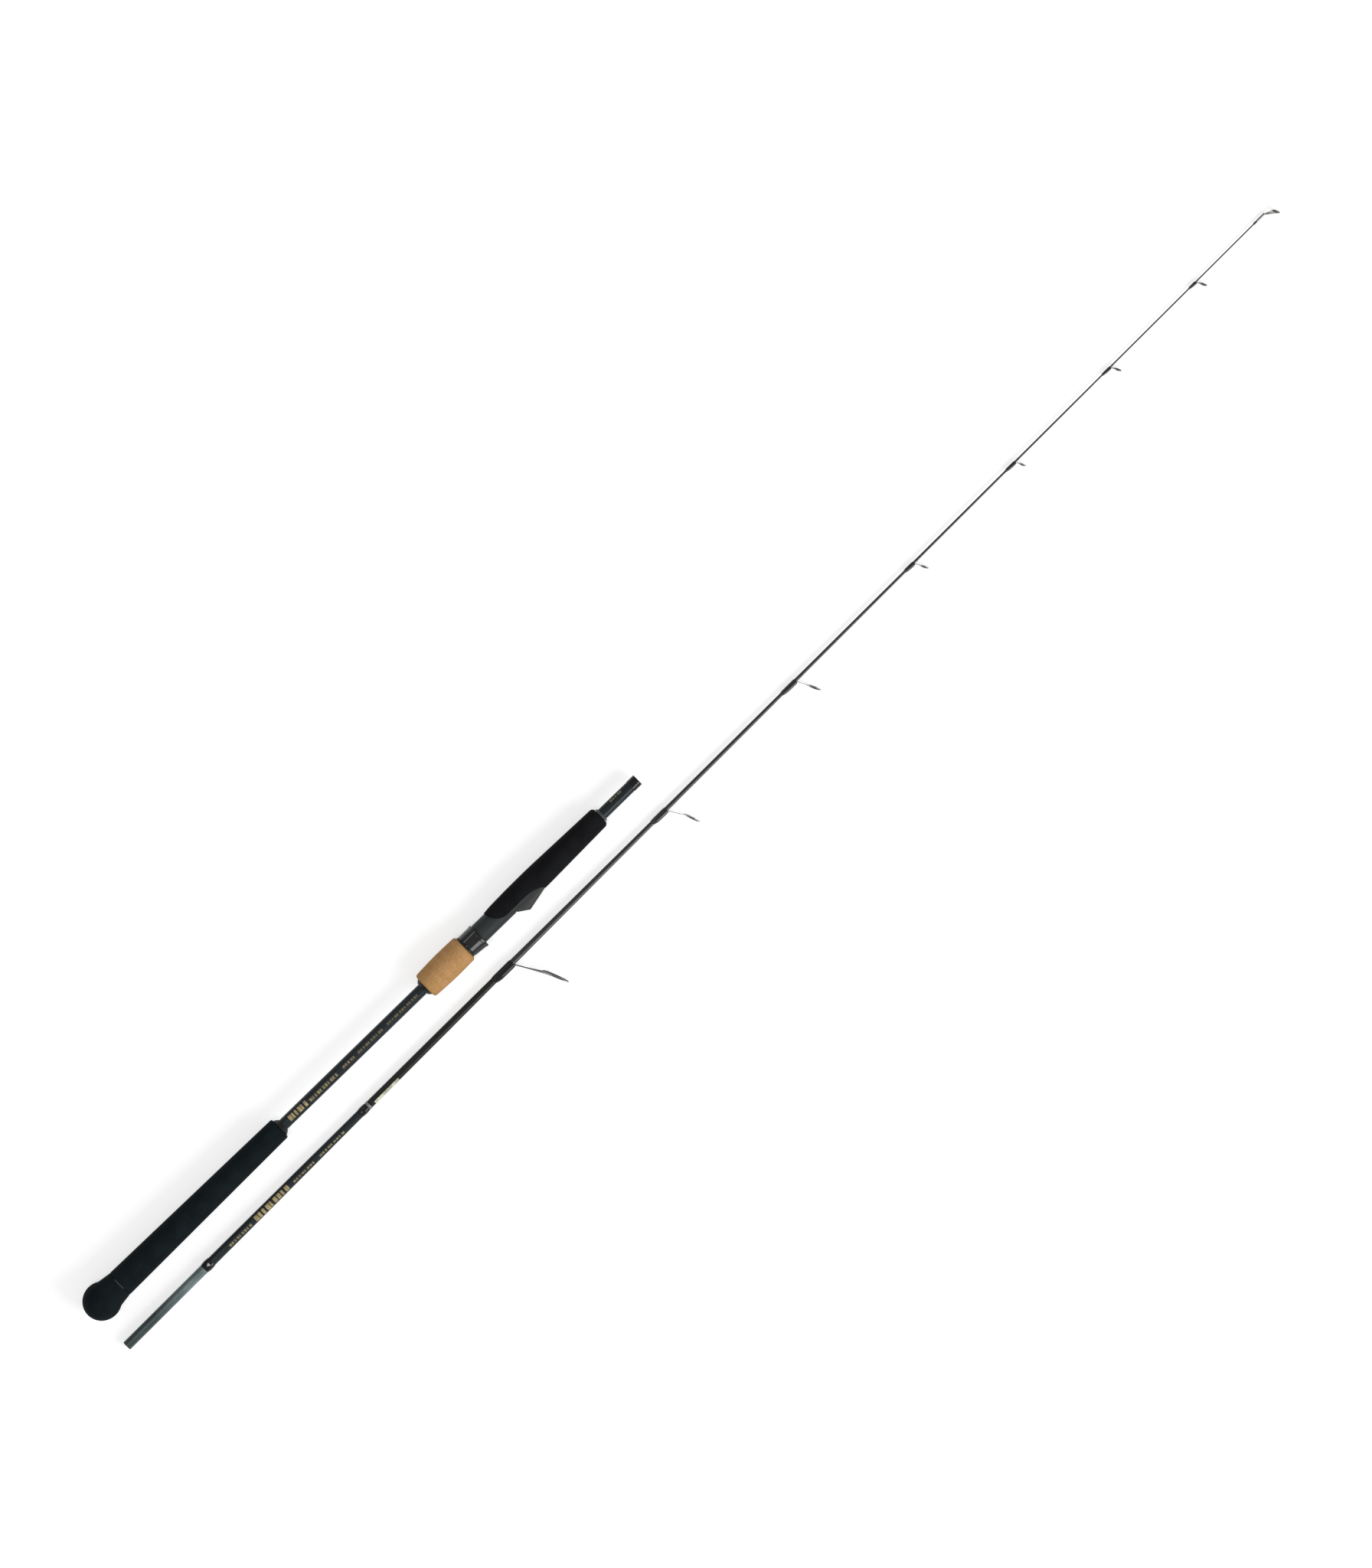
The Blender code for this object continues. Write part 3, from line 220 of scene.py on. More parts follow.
GUIDES = (
    Guide(0.9225, 0.0361, 0.0250, 33, 22, 0.0226, 0.0030, 0.0011, 0.0013, 0.32),
    Guide(0.7333, 0.0218, 0.0155, 33, 19, 0.0173, 0.0026, 0.0010, 0.0011, 0.40),
    Guide(0.5742, 0.0165, 0.0124, 26, 25, 0.0173, 0.0022, 0.0009, 0.0010, 0.40),
    Guide(0.4290, 0.0093, 0.0080, 26, 27, 0.0113, 0.0018, 0.0007, 0.0009, 0.35),
    Guide(0.3044, 0.0064, 0.0066, 27, 27, 0.0117, 0.0015, 0.0006, 0.0008, 0.35),
    Guide(0.1872, 0.0064, 0.0066, 27, 27, 0.0105, 0.0015, 0.0006, 0.0008, 0.35),
    Guide(0.0820, 0.0064, 0.0066, 27, 27, 0.0089, 0.0015, 0.0006, 0.0008, 0.35),
)
# Guides whose frames are painted paler, a painted reflection of the bright floor
GUIDES_WITH_PAINTED_REFLECTION = (2, 3, 4, 5)
# A hoop's and a ring's sizes, each a share of the guide's diameter and the least that it may be
HOOP_WALL = (0.055, 0.00055)
HOOP_DEPTH = (0.050, 0.0009)
RING_WALL = (0.070, 0.00070)
RING_FACE_SHARE = 0.7
STEM_WIDTH_SHARE = 1.5
LEG_THICKNESS = 0.0008
FIRST_LEG_DEPTH = 0.0012
WRAP_THREAD = 0.00030
WRAP_GLOSS_RISE = 0.00050
WRAP_OVERLAP = 0.0022
WRAP_TENT_POWER = 2.2
TIP_TOP_TUBE_LENGTH = 0.0070
TIP_TOP_TUBE_WALL = 0.0003
TIP_TOP_RING_OFFSET = 0.0060
TIP_TOP_RING_DIAMETER = 0.0070
TIP_TOP_RING_AHEAD = 0.0105
TIP_TOP_TILT = 27
TIP_TOP_STRUT_ANGLES = (90, -25, 205)
TIP_TOP_STRUT_WIDTH = 0.0008
TIP_TOP_WRAP_LENGTH = 0.0040

# Printed rows: back, front, how far each edge lies across the tube, from -1 to 1 towards the reel side, the
# number of bars, and how thickly they are printed
MARK_LIFT = 0.00003
BAR_SHARE = 0.66
BAR_UNEVENNESS = 0.20
PRINT_STRENGTHS = {"bold": 1.0, "fine": 0.62, "faint": 0.36}
HANDLE_MARKS = (
    (0.2444, 0.2663, -0.42, 0.52, 6, "bold"),
    (0.2685, 0.3026, -0.06, 0.48, 11, "fine"),
    (0.3088, 0.3244, -0.10, 0.34, 5, "fine"),
    (0.3272, 0.3582, -0.10, 0.34, 10, "faint"),
    (0.3626, 0.4010, -0.10, 0.28, 13, "faint"),
    (0.6364, 0.6510, -0.72, -0.42, 5, "fine"),
)
TIP_MARKS = (
    (0.1252, 0.1525, 0.10, 0.62, 9, "fine"),
    (0.1572, 0.1985, -0.42, 0.86, 9, "bold"),
    (0.2038, 0.2304, 0.10, 0.56, 8, "fine"),
    (0.2358, 0.2664, 0.10, 0.56, 9, "fine"),
)
CREAM_STRIP = (0.3030, 0.3320, 0.30, 0.97, 1, "bold")
STOP_MARK_AT = 0.1008
STOP_MARK_HALF_LENGTH = 0.0011
STOP_MARK_HALF_ACROSS = 0.29
STOP_MARK_END_SHARE = 0.995


class CorkLayer(NamedTuple):
    """One layer of the cork's pattern: its noise, sized in grains, the range that shows, and its colour."""

    name: str
    size: float
    detail: int
    stretch: tuple
    rough: float
    low: float
    high: float
    most: float
    shares: tuple


CORK_LAYERS = (
    CorkLayer("broad", 4.0, 2, None, 0.5, 0.40, 0.62, 1.0, (1.06, 1.00, 1.22)),
    CorkLayer("ring", 4.0, 2, (1.0, 0.12, 0.12), 0.5, 0.42, 0.58, 0.75, (0.90, 0.90, 0.76)),
    CorkLayer("cross", 0.7, 3, (1.0, 0.16, 0.16), 0.5, 0.50, 0.68, 0.45, (0.80, 0.78, 0.62)),
    CorkLayer("streak", 1.0, 4, (0.35, 1.0, 1.0), 0.6, 0.42, 0.70, 0.6, (0.74, 0.66, 0.52)),
    CorkLayer("dash", 0.45, 2, (0.6, 1.0, 1.0), 0.5, 0.64, 0.72, 1.0, (0.42, 0.32, 0.26)),
    CorkLayer("pit", 0.35, 2, None, 0.5, 0.70, 0.78, 1.0, (0.40, 0.40, 0.40)),
)
# The middle of a noise's range, and the stretch of the ferrule that gets a painted highlight, in shares of its
# length
CLOUD_RANGE = (0.3, 0.7)
HIGHLIGHT_STRETCH = (0.38, 0.76)


class Coat(NamedTuple):
    """A clear coat over a finish."""

    weight: float
    roughness: float
    index: float


THIN_LACQUER = Coat(0.25, 0.12, 1.33)
MIDDLE_LACQUER = Coat(0.35, 0.12, 1.40)
HAZY_LACQUER = Coat(1.0, 0.24, 1.50)
EPOXY = Coat(0.65, 0.04, 1.42)
DULL_EPOXY = Coat(0.65, 0.09, 1.42)
HAZY_EPOXY = Coat(1.0, 0.22, 1.55)
POLISH = Coat(1.0, 0.10, 1.42)
NO_POLISH = Coat(0.0, 0.05, 1.42)
GLAZE = Coat(0.6, 0.03, 1.50)
PRINT_COAT = Coat(0.8, 0.06, 1.50)

# How finely the pieces that the settings don't reach are made
HOOD_SIDES = 96
WRAP_SIDES = 40
THREAD_STEPS = 48
SMALL_SIDES = 32
HOOP_SECTION_SIDES = 14
LEG_SIDES = 14
STRUT_SIDES = 10
# How far a corner's rounding may reach along the shorter of its two arms, and its number of steps
EASE_SHARE = 0.48
EASE_STEPS = 5

# Where the camera stands: over the middle of the photographed frame, turned so that the rod runs as it does.
# Its frame is as high as FRAME_HEIGHT at the height of the rod's axis.
AXIS_HEIGHT = 0.012
FRAME_HEIGHT = 1.364
CAMERA_LENS = 150
SENSOR_HEIGHT = 36
CAMERA_OVER = (-0.0120, -0.0032)
CAMERA_TURN = math.radians(-44.87)
CAMERA_CLIP_END = 60
FLOOR_SIZE = 24
FLOOR_DROP = 0.0001
# Each lamp's name, place, target, and size along and across
LAMPS = (
    ("side", (0.54, -2.13, 1.49), (0.54, 0, 0), 2.00, 1.35),
    ("butt", (-1.00, 0.0, 2.40), (-1.00, 0, 0), 0.20, 0.40),
    ("rim", (-0.36, 1.63, 1.66), (-0.24, 0.03, 0), 0.50, 0.30),
)

# Places along the handle, worked out from the lengths above
GRIP_BACK = BALL_LENGTH + FIT_GAP
GRIP_FRONT = GRIP_BACK + REAR_GRIP_LENGTH
REAR_CHECK_BACK = GRIP_FRONT + FIT_GAP
REAR_CHECK_FRONT = REAR_CHECK_BACK + REAR_CHECK_LENGTH
SEAT_CHECK_BACK = REAR_CHECK_FRONT + BARE_TUBE_LENGTH
SEAT_BACK = SEAT_CHECK_BACK + SEAT_CHECK_LENGTH + FIT_GAP
CORK_FRONT = SEAT_BACK + CORK_LENGTH
COLLAR_BACK = CORK_FRONT + FIT_GAP
COLLAR_FRONT = COLLAR_BACK + COLLAR_LENGTH
NUT_BACK = CORK_FRONT - NUT_LENGTH
HOOD_BACK = COLLAR_FRONT + FIT_GAP
HOOD_FRONT = HOOD_BACK + HOOD_LENGTH
SEAT_FRONT = SEAT_BACK + BARREL_LENGTH
THREAD_FRONT = COLLAR_FRONT + HOOD_TRAVEL + FIT_GAP
FIXED_HOOD_FRONT = SEAT_FRONT - FIXED_HOOD_INSET
FIXED_HOOD_BACK = FIXED_HOOD_FRONT - FIXED_HOOD_LENGTH
FIXED_HOOD_TOP = FIXED_HOOD_BACK + FIXED_HOOD_RISE
FIXED_HOOD_FALL = (FIXED_HOOD_PEAK - FIXED_HOOD_FRONT_HEIGHT) / (FIXED_HOOD_FRONT - FIXED_HOOD_TOP)
FOREGRIP_START = FIXED_HOOD_BACK - FOREGRIP_OVERHANG
FOREGRIP_FRONT = FOREGRIP_START + FOREGRIP_LENGTH
WINDING_CHECK_BACK = FOREGRIP_FRONT + FIT_GAP
WINDING_CHECK_FRONT = WINDING_CHECK_BACK + WINDING_CHECK_LENGTH
MOUTH = WINDING_CHECK_FRONT + MOUTH_TUBE_LENGTH
TUBE_FIT = TUBE_RADIUS + GLUE_GAP
CHECK_EDGE = (TUBE_RADIUS + 2 * FIT_GAP, 0.0004)
GLUE_LINE = (GRIP_BACK - FIT_GAP * 1.4, GRIP_BACK + FIT_GAP * 0.2, -0.47, 0.41)


def tint(name, description, default):
    """A colour that the user can change."""
    return FloatVectorProperty(
        name=name, description=description, default=default, size=3, min=0, max=1, subtype="COLOR")


class RodColours(bpy.types.PropertyGroup):
    """The colours of the rod's finishes."""

    foam: tint("Foam", "Closed-cell foam of the ball and the grips", (0.0068, 0.0106, 0.0120))
    foregrip_foam: tint("Foregrip foam", "Blacker foam of the foregrip", (0.0080, 0.0083, 0.0092))
    dry_glue: tint("Dry glue", "Glue between the ball and the rear grip", (0.0750, 0.0850, 0.0900))
    lacquer: tint("Lacquer", "Dark lacquer over the carbon tubes", (0.0095, 0.0150, 0.0180))
    farther_lacquer: tint("Tip lacquer", "Warmer black beyond the tip section's trim", (0.0060, 0.0062, 0.0050))
    ferrule: tint("Ferrule", "Sanded carbon of the ferrule", (0.0290, 0.0440, 0.0460))
    # Paler carbon for the ferrule's painted highlight near its stop, and for its scratches
    ferrule_highlight_and_scratch: tint("Ferrule highlight and scratches", "Painted highlight and scratches on the ferrule", (0.1650, 0.2150, 0.2150))
    cork: tint("Cork", "Sanded cork of the locking grip", (0.4820, 0.2740, 0.1120))
    seat: tint("Seat", "Matt slate plastic of the reel seat's barrel", (0.0165, 0.0216, 0.0230))
    fixed_hood: tint("Fixed hood", "Grey of the fixed hood", (0.0450, 0.0480, 0.0465))
    gloss_black: tint("Gloss black", "Moving hood, collar and checks", (0.0060, 0.0068, 0.0058))
    winding_check: tint("Winding check", "Satin ring in front of the foregrip", (0.0600, 0.0650, 0.0660))
    arbor: tint("Arbor", "Hard foam of the bushes inside the seat", (0.3000, 0.2900, 0.2700))
    thread: tint("Thread", "Black winding thread under clear epoxy", (0.0030, 0.0034, 0.0032))
    silver: tint("Silver", "Pale thread of the trim ring", (0.2000, 0.2000, 0.1900))
    gold: tint("Gold", "Gold of the plain printed bands", (0.4300, 0.3350, 0.1450))
    cream: tint("Cream", "Cream printed strip on the tip section", (0.7000, 0.7000, 0.5000))
    stop_white: tint("Stop white", "Dot on the ferrule's winding", (0.5000, 0.5700, 0.5700))
    guide_metal: tint("Guide metal", "Steel of the guide frames", (0.5600, 0.5600, 0.5400))
    ceramic: tint("Ceramic", "Polished rings in the guides", (0.0200, 0.0200, 0.0190))


class RodDetail(bpy.types.PropertyGroup):
    """The grain of the finishes and how finely the pieces are turned."""

    foam_cell: FloatProperty(
        name="Foam cell", description="Width of one cell of the foam",
        default=0.00045, min=0.0001, max=0.003, unit="LENGTH", precision=5)
    cork_grain: FloatProperty(
        name="Cork grain", description="Width of one granule of the cork",
        default=0.0016, min=0.0003, max=0.01, unit="LENGTH", precision=5)
    thread_pitch: FloatProperty(
        name="Thread pitch", description="Distance between turns of the winding thread",
        default=0.00022, min=0.0001, max=0.001, unit="LENGTH", precision=5)
    turned_sides: IntProperty(
        name="Turned sides", description="Facets round each turned piece",
        default=80, min=24, max=160)
    guide_sides: IntProperty(
        name="Guide sides", description="Facets round each guide's hoop and ring",
        default=64, min=24, max=128)


class StudioSettings(bpy.types.PropertyGroup):
    """The floor and the lamps."""

    floor_tone: FloatProperty(
        name="Floor tone", description="Grey level of the floor's own colour",
        default=0.62, min=0, max=1, subtype="FACTOR")
    floor_glow: FloatProperty(
        name="Floor glow", description="White that the floor adds where it is seen directly or mirrored",
        default=0.55, min=0, max=1, subtype="FACTOR")
    sky_tone: FloatProperty(
        name="Sky tone", description="Grey level of the world round the studio",
        default=0.45, min=0, max=1, subtype="FACTOR")
    side_power: FloatProperty(
        name="Side power", description="Power of the long soft lamp on the guides' side",
        default=52.0, min=0, unit="POWER")
    butt_power: FloatProperty(
        name="Butt power", description="Power of the small lamp over the butt end",
        default=9.0, min=0, unit="POWER")
    rim_power: FloatProperty(
        name="Rim power", description="Power of the thin lamp behind the reel seat",
        default=1.6, min=0, unit="POWER")


def named(rows, name):
    """The row that has a name."""
    return next(row for row in rows if row["name"] == name)


def section_matrix(origin, ahead, reel_side):
    """A section's local frame: x ahead along its axis, -y towards the reel side."""
    x = ahead.normalized()
    y = -(reel_side - x * reel_side.dot(x)).normalized()
    z = x.cross(y)
    return Matrix.Translation(origin) @ Matrix((x, y, z)).transposed().to_4x4()


def handle_section():
    """The handle's local frame, from the nut's joint and the reel bed."""
    nut = named(frame["joints"], "nut_spin")
    bed = named(frame["record"]["mounts"], "reel_bed")
    ahead = Vector(nut["axis"])
    return section_matrix(Vector(nut["pos_m"]) - ahead * NUT_BACK, ahead, Vector(bed["axis"]))


def tip_section():
    """The tip section's local frame, from the ferrule's end face and the first guide's ring."""
    end = named(frame["record"]["mounts"], "ferrule_end")
    ahead = -Vector(end["axis"])
    face = Vector(end["pos_m"])
    face_height = TIP_RADII[0][1] - TIP_WALL / 2
    low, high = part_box("guide_1_ring")
    toward = (low + high) / 2 - face
    toward -= ahead * toward.dot(ahead)
    above = math.atan2(face_height, GUIDES[0].ring_offset)
    reel_side = Matrix.Rotation(-above, 3, ahead) @ toward
    rough = section_matrix(face, ahead, reel_side)
    return Matrix.Translation(-rough.col[2].xyz * face_height) @ rough


# The local frame of each body's section
SECTIONS = {HANDLE: handle_section(), TIP: tip_section()}
SECTIONS["moving_hood"] = SECTIONS["lock_nut"] = SECTIONS[HANDLE]


def deselect():
    """Leaves edit mode and lets go of everything, the CAD solids included."""
    if bpy.context.object and bpy.context.object.mode != "OBJECT":
        bpy.ops.object.mode_set(mode="OBJECT")
    bpy.ops.object.select_all(action="DESELECT")


def only(obj):
    """Makes one object the only selected and active one."""
    deselect()
    obj.select_set(True)
    bpy.context.view_layer.objects.active = obj


def apply_modifier(obj, kind, **values):
    """Adds one modifier with the given settings and applies it."""
    only(obj)
    modifier = obj.modifiers.new(kind.title(), kind)
    for key, value in values.items():
        setattr(modifier, key, value)
    bpy.ops.object.modifier_apply(modifier=modifier.name)


def smooth(obj, angle):
    """Shades a piece smooth, with edges sharper than an angle in degrees left sharp."""
    only(obj)
    bpy.ops.object.shade_smooth_by_angle(angle=math.radians(angle))
    return obj


def lay(obj, matrix):
    """Puts a piece in its place and applies the place to its mesh."""
    only(obj)
    obj.matrix_world = matrix
    bpy.ops.object.transform_apply(location=True, rotation=True, scale=True)
    return obj


def cut(piece, cutter, smooth_angle):
    """Takes a solid away from a piece and shades it again."""
    apply_modifier(piece, "BOOLEAN", operation="DIFFERENCE", solver="EXACT", object=cutter)
    bpy.data.objects.remove(cutter, do_unlink=True)
    smooth(piece, smooth_angle)


def block(name, low, high, turn=0.0):
    """A box between two corners, turned round the section's axis."""
    deselect()
    bpy.ops.mesh.primitive_cube_add(size=1)
    obj = bpy.context.object
    obj.name = name
    middle = [(a + b) / 2 for a, b in zip(low, high)]
    spread = Matrix.Diagonal([b - a for a, b in zip(low, high)]).to_4x4()
    return lay(obj, Matrix.Rotation(turn, 4, "X") @ Matrix.Translation(middle) @ spread)


def traced(name, points):
    """A line through points, drawn by extruding one vertex. It stays selected in edit mode."""
    deselect()
    bpy.ops.mesh.primitive_plane_add(size=0.001)
    obj = bpy.context.object
    obj.name = name
    obj.data.name = name
    bpy.ops.object.mode_set(mode="EDIT")
    bpy.ops.mesh.select_mode(type="VERT")
    bpy.ops.mesh.select_all(action="SELECT")
    bpy.ops.mesh.merge(type="CENTER")
    bpy.ops.transform.translate(value=points[0])
    for here, there in zip(points, points[1:]):
        step = [b - a for a, b in zip(here, there)]
        bpy.ops.mesh.extrude_vertices_move(TRANSFORM_OT_translate={"value": step})
    bpy.ops.mesh.select_all(action="SELECT")
    return obj


def leave_edit():
    """Turns all faces outwards and leaves edit mode."""
    bpy.ops.mesh.select_all(action="SELECT")
    bpy.ops.mesh.normals_make_consistent(inside=False)
    bpy.ops.object.mode_set(mode="OBJECT")


def bent(start, corner, end, steps):
    """Points along the curve that rounds a corner."""
    shares = [step / steps for step in range(steps + 1)]
    return [start * (1 - s) ** 2 + corner * 2 * s * (1 - s) + end * s ** 2 for s in shares]


def eased(outline):
    """Rounds an outline's corners. A point is (x, radius) or (x, radius, how far its rounding reaches)."""
    points = []
    for k, point in enumerate(outline):
        here = Vector(point[:2])
        if len(point) < 3 or k in (0, len(outline) - 1):
            points.append(here)
            continue
        arms = [Vector(outline[k + way][:2]) - here for way in (-1, 1)]
        start, end = [here + arm.normalized() * min(point[2], arm.length * EASE_SHARE) for arm in arms]
        points += bent(start, here, end, EASE_STEPS)
    return points


def arc(centre_x, centre_r, radius_x, radius_r, start, end, steps):
    """Points along a stretch of an ellipse, with angles in degrees."""
    angles = [math.radians(start + (end - start) * k / steps) for k in range(steps + 1)]
    return [(centre_x + radius_x * math.cos(a), centre_r + radius_r * math.sin(a)) for a in angles]


def sleeve(back, front, bore, behind, ahead):
    """The outline of a short tube, given the radius and rounding of its edge behind and of its edge ahead."""
    return [(back, bore), (back, *behind), (front, *ahead), (front, bore)]


def turned(name, outline, sides=None, smooth_angle=40):
    """Traces an outline of (x, radius), then spins it round the x axis.

    An outline that ends off the axis is closed back to its start, so every turned piece is a shell.
    """
    sides = sides or bpy.context.scene.rod_detail.turned_sides
    points = eased(outline)
    if points[0].y > 0 or points[-1].y > 0:
        points.append(points[0])
    obj = traced(name, [(point.x, 0, point.y) for point in points])
    bpy.ops.mesh.spin(steps=sides, angle=math.tau, center=(0, 0, 0), axis=(1, 0, 0))
    bpy.ops.mesh.select_all(action="SELECT")
    bpy.ops.mesh.remove_doubles(threshold=1e-6)
    bpy.ops.mesh.delete_loose()
    leave_edit()
    return smooth(obj, smooth_angle)


def lofted(name, shells, smooth_angle=40, looped=False):
    """Shells through rings of points, for forms that no spin or extrusion gives.

    A looped shell closes back on its first ring. Any other has a face over each end.
    """
    mesh = bmesh.new()
    for rings in shells:
        made = [[mesh.verts.new(point) for point in ring] for ring in rings]
        for back, front in zip(made, made[1:] + made[:1] if looped else made[1:]):
            for k in range(len(back)):
                after = (k + 1) % len(back)
                mesh.faces.new((back[k], back[after], front[after], front[k]))
        if not looped:
            mesh.faces.new(made[0])
            mesh.faces.new(made[-1])
    bmesh.ops.recalc_face_normals(mesh, faces=mesh.faces)
    data = bpy.data.meshes.new(name)
    mesh.to_mesh(data)
    mesh.free()
    obj = bpy.data.objects.new(name, data)
    bpy.context.scene.collection.objects.link(obj)
    return smooth(obj, smooth_angle)


def joined(name, parts):
    """Joins several objects into the first one."""
    only(parts[0])
    for part in parts:
        part.select_set(True)
    bpy.ops.object.join()
    parts[0].name = name
    return parts[0]


def settle(obj, body, slot, node, *finishes, place=Matrix()):
    """Lays a piece in its section, gives it its finishes, hangs it under its body's empty and hides the CAD node
    that it stands for, if any.
    """
    lay(obj, SECTIONS[body] @ place)
    for finish in finishes:
        obj.data.materials.append(finish)
    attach(obj, body)
    if node:
        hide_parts(node)


def finish_node(name, finish):
    """Gives a CAD node that stays as it is a finish of its own."""
    materials = frame["nodes"][name].data.materials
    materials.clear()
    materials.append(finish)


def finish_faces(obj, index, chosen):
    """Gives the faces whose local centre passes a test the finish at an index. It comes before settle."""
    for face in obj.data.polygons:
        if chosen(face.center):
            face.material_index = index


def shade(color, *shares):
    """A colour made darker or lighter, by one share or by one for each channel."""
    return tuple(min(1.0, channel * share) for channel, share in zip(color, shares * (3 // len(shares))))


class Nodes:
    """A material with short ways to add to its node tree."""

    def __init__(self, name):
        self.material = bpy.data.materials.new(name)
        self.material.use_nodes = True
        self.tree = self.material.node_tree
        self.shader = self.tree.nodes["Principled BSDF"]

    def add(self, kind, **settings):
        """A new node with its settings."""
        node = self.tree.nodes.new(kind)
        for key, value in settings.items():
            setattr(node, key, value)
        return node

    def feed(self, socket, value):
        """Links a socket to another one, or else sets its value. A colour has three channels."""
        if isinstance(value, bpy.types.NodeSocket):
            self.tree.links.new(value, socket)
        else:
            socket.default_value = (*value, 1) if socket.type == "RGBA" else value

    def put(self, node, **values):
        """Feeds a node's sockets, under names with _ for a space."""
        for key, value in values.items():
            self.feed(node.inputs[key.replace("_", " ")], value)
        return node

    def sum(self, operation, first, second=0.0):
        """One step of reckoning with two values or links."""
        node = self.add("ShaderNodeMath", operation=operation)
        for socket, value in zip(node.inputs, (first, second)):
            self.feed(socket, value)
        return node.outputs["Value"]


class Finish(Nodes):
    """A Principled material whose patterns read its section's local frame."""

    def __init__(self, name, section, color, roughness, coat=None, **sockets):
        super().__init__(name)
        self.color = color
        self.put(self.shader, Base_Color=color, Roughness=roughness, **sockets)
        if coat:
            self.put(self.shader, Coat_Weight=coat.weight, Coat_Roughness=coat.roughness, Coat_IOR=coat.index)
        mapping = self.add("ShaderNodeMapping", vector_type="TEXTURE")
        self.put(mapping, Vector=self.add("ShaderNodeTexCoord").outputs["Object"],
                 Location=SECTIONS[section].translation, Rotation=SECTIONS[section].to_euler())
        self.local = mapping.outputs["Vector"]

    def noise(self, size, detail=2.0, stretch=None, rough=0.5):
        """Cloudy noise of a size. A stretch below 1 draws it out along that axis."""
        place = self.local
        if stretch:
            mapping = self.add("ShaderNodeMapping", vector_type="POINT")
            place = self.put(mapping, Vector=place, Scale=stretch).outputs["Vector"]
        node = self.add("ShaderNodeTexNoise")
        return self.put(node, Vector=place, Scale=1 / size, Detail=detail, Roughness=rough).outputs["Fac"]

    def cells(self, size, output="Distance"):
        """Cells of a size, as the distance from each middle or another output."""
        node = self.add("ShaderNodeTexVoronoi")
        return self.put(node, Vector=self.local, Scale=1 / size).outputs[output]

    def along(self, axis="X"):
        """The distance from the section's butt end, or along another of its axes."""
        return self.put(self.add("ShaderNodeSeparateXYZ"), Vector=self.local).outputs[axis]

    def bands(self, size):
        """Even rings along the section's axis, from 0 to 1."""
        wave = self.sum("SINE", self.sum("MULTIPLY", self.along(), math.tau / size))
        return self.between(wave, -1, 1)

    def between(self, value, low, high, to_low=0.0, to_high=1.0):
        """Spreads a range of values over another one, clamped."""
        node = self.add("ShaderNodeMapRange", clamp=True)
        self.put(node, Value=value, From_Min=low, From_Max=high, To_Min=to_low, To_Max=to_high)
        return node.outputs["Result"]

    def blend(self, factor, first, second):
        """A colour between two. Each is a link, a colour, or a share of the finish's own colour."""
        node = self.add("ShaderNodeMix", data_type="RGBA")
        self.feed(node.inputs[0], factor)
        for socket, value in ((node.inputs[6], first), (node.inputs[7], second)):
            self.feed(socket, shade(self.color, value) if isinstance(value, float) else value)
        return node.outputs[2]

    def clouded(self, cloud, dark, light):
        """The finish's colour, darker where a cloud is low and lighter where it is high."""
        return self.blend(self.between(cloud, *CLOUD_RANGE), dark, light)

    def paint(self, tone, cloud=None, low=0.0, high=1.0):
        """Paints the base colour, and lets a cloud vary the roughness."""
        self.put(self.shader, Base_Color=tone)
        if cloud:
            self.put(self.shader, Roughness=self.between(cloud, *CLOUD_RANGE, low, high))

    def emboss(self, height, depth, strength, socket="Normal"):
        """A bump of the given depth from a height between 0 and 1."""
        node = self.add("ShaderNodeBump")
        self.put(node, Height=height, Distance=depth, Strength=strength)
        self.feed(self.shader.inputs[socket], node.outputs["Normal"])


def foam_finish(name, color):
    """Moulded closed-cell foam: dull, finely pitted, with flecks where cells are cut open."""
    cell = bpy.context.scene.rod_detail.foam_cell
    foam = Finish(name, HANDLE, color, 0.68, Specular_IOR_Level=0.03)
    cloud = foam.noise(cell * 30, 3)
    fleck = foam.between(foam.noise(cell * 1.6, 2), 0.56, 0.74)
    base = foam.blend(foam.between(cloud, 0.35, 0.65), 0.82, 1.25)
    foam.paint(foam.blend(fleck, base, 1.9), cloud, 0.62, 0.75)
    foam.emboss(foam.between(foam.cells(cell), 0.05, 0.6), 0.00003, 0.5)
    return foam.material


def lacquer_finish(name, section, color, coat):
    """Glossy lacquer over wound carbon: a faint weave shows in the depth of the coat."""
    lacquer = Finish(name, section, color, 0.38, coat, Specular_IOR_Level=0.15)
    weave = lacquer.noise(0.0006, 2, (0.25, 1.0, 1.0))
    lacquer.paint(lacquer.clouded(weave, 0.75, 1.35), weave, 0.32, 0.46)
    lacquer.emboss(lacquer.bands(0.0032), 0.000001, 0.5)
    return lacquer.material


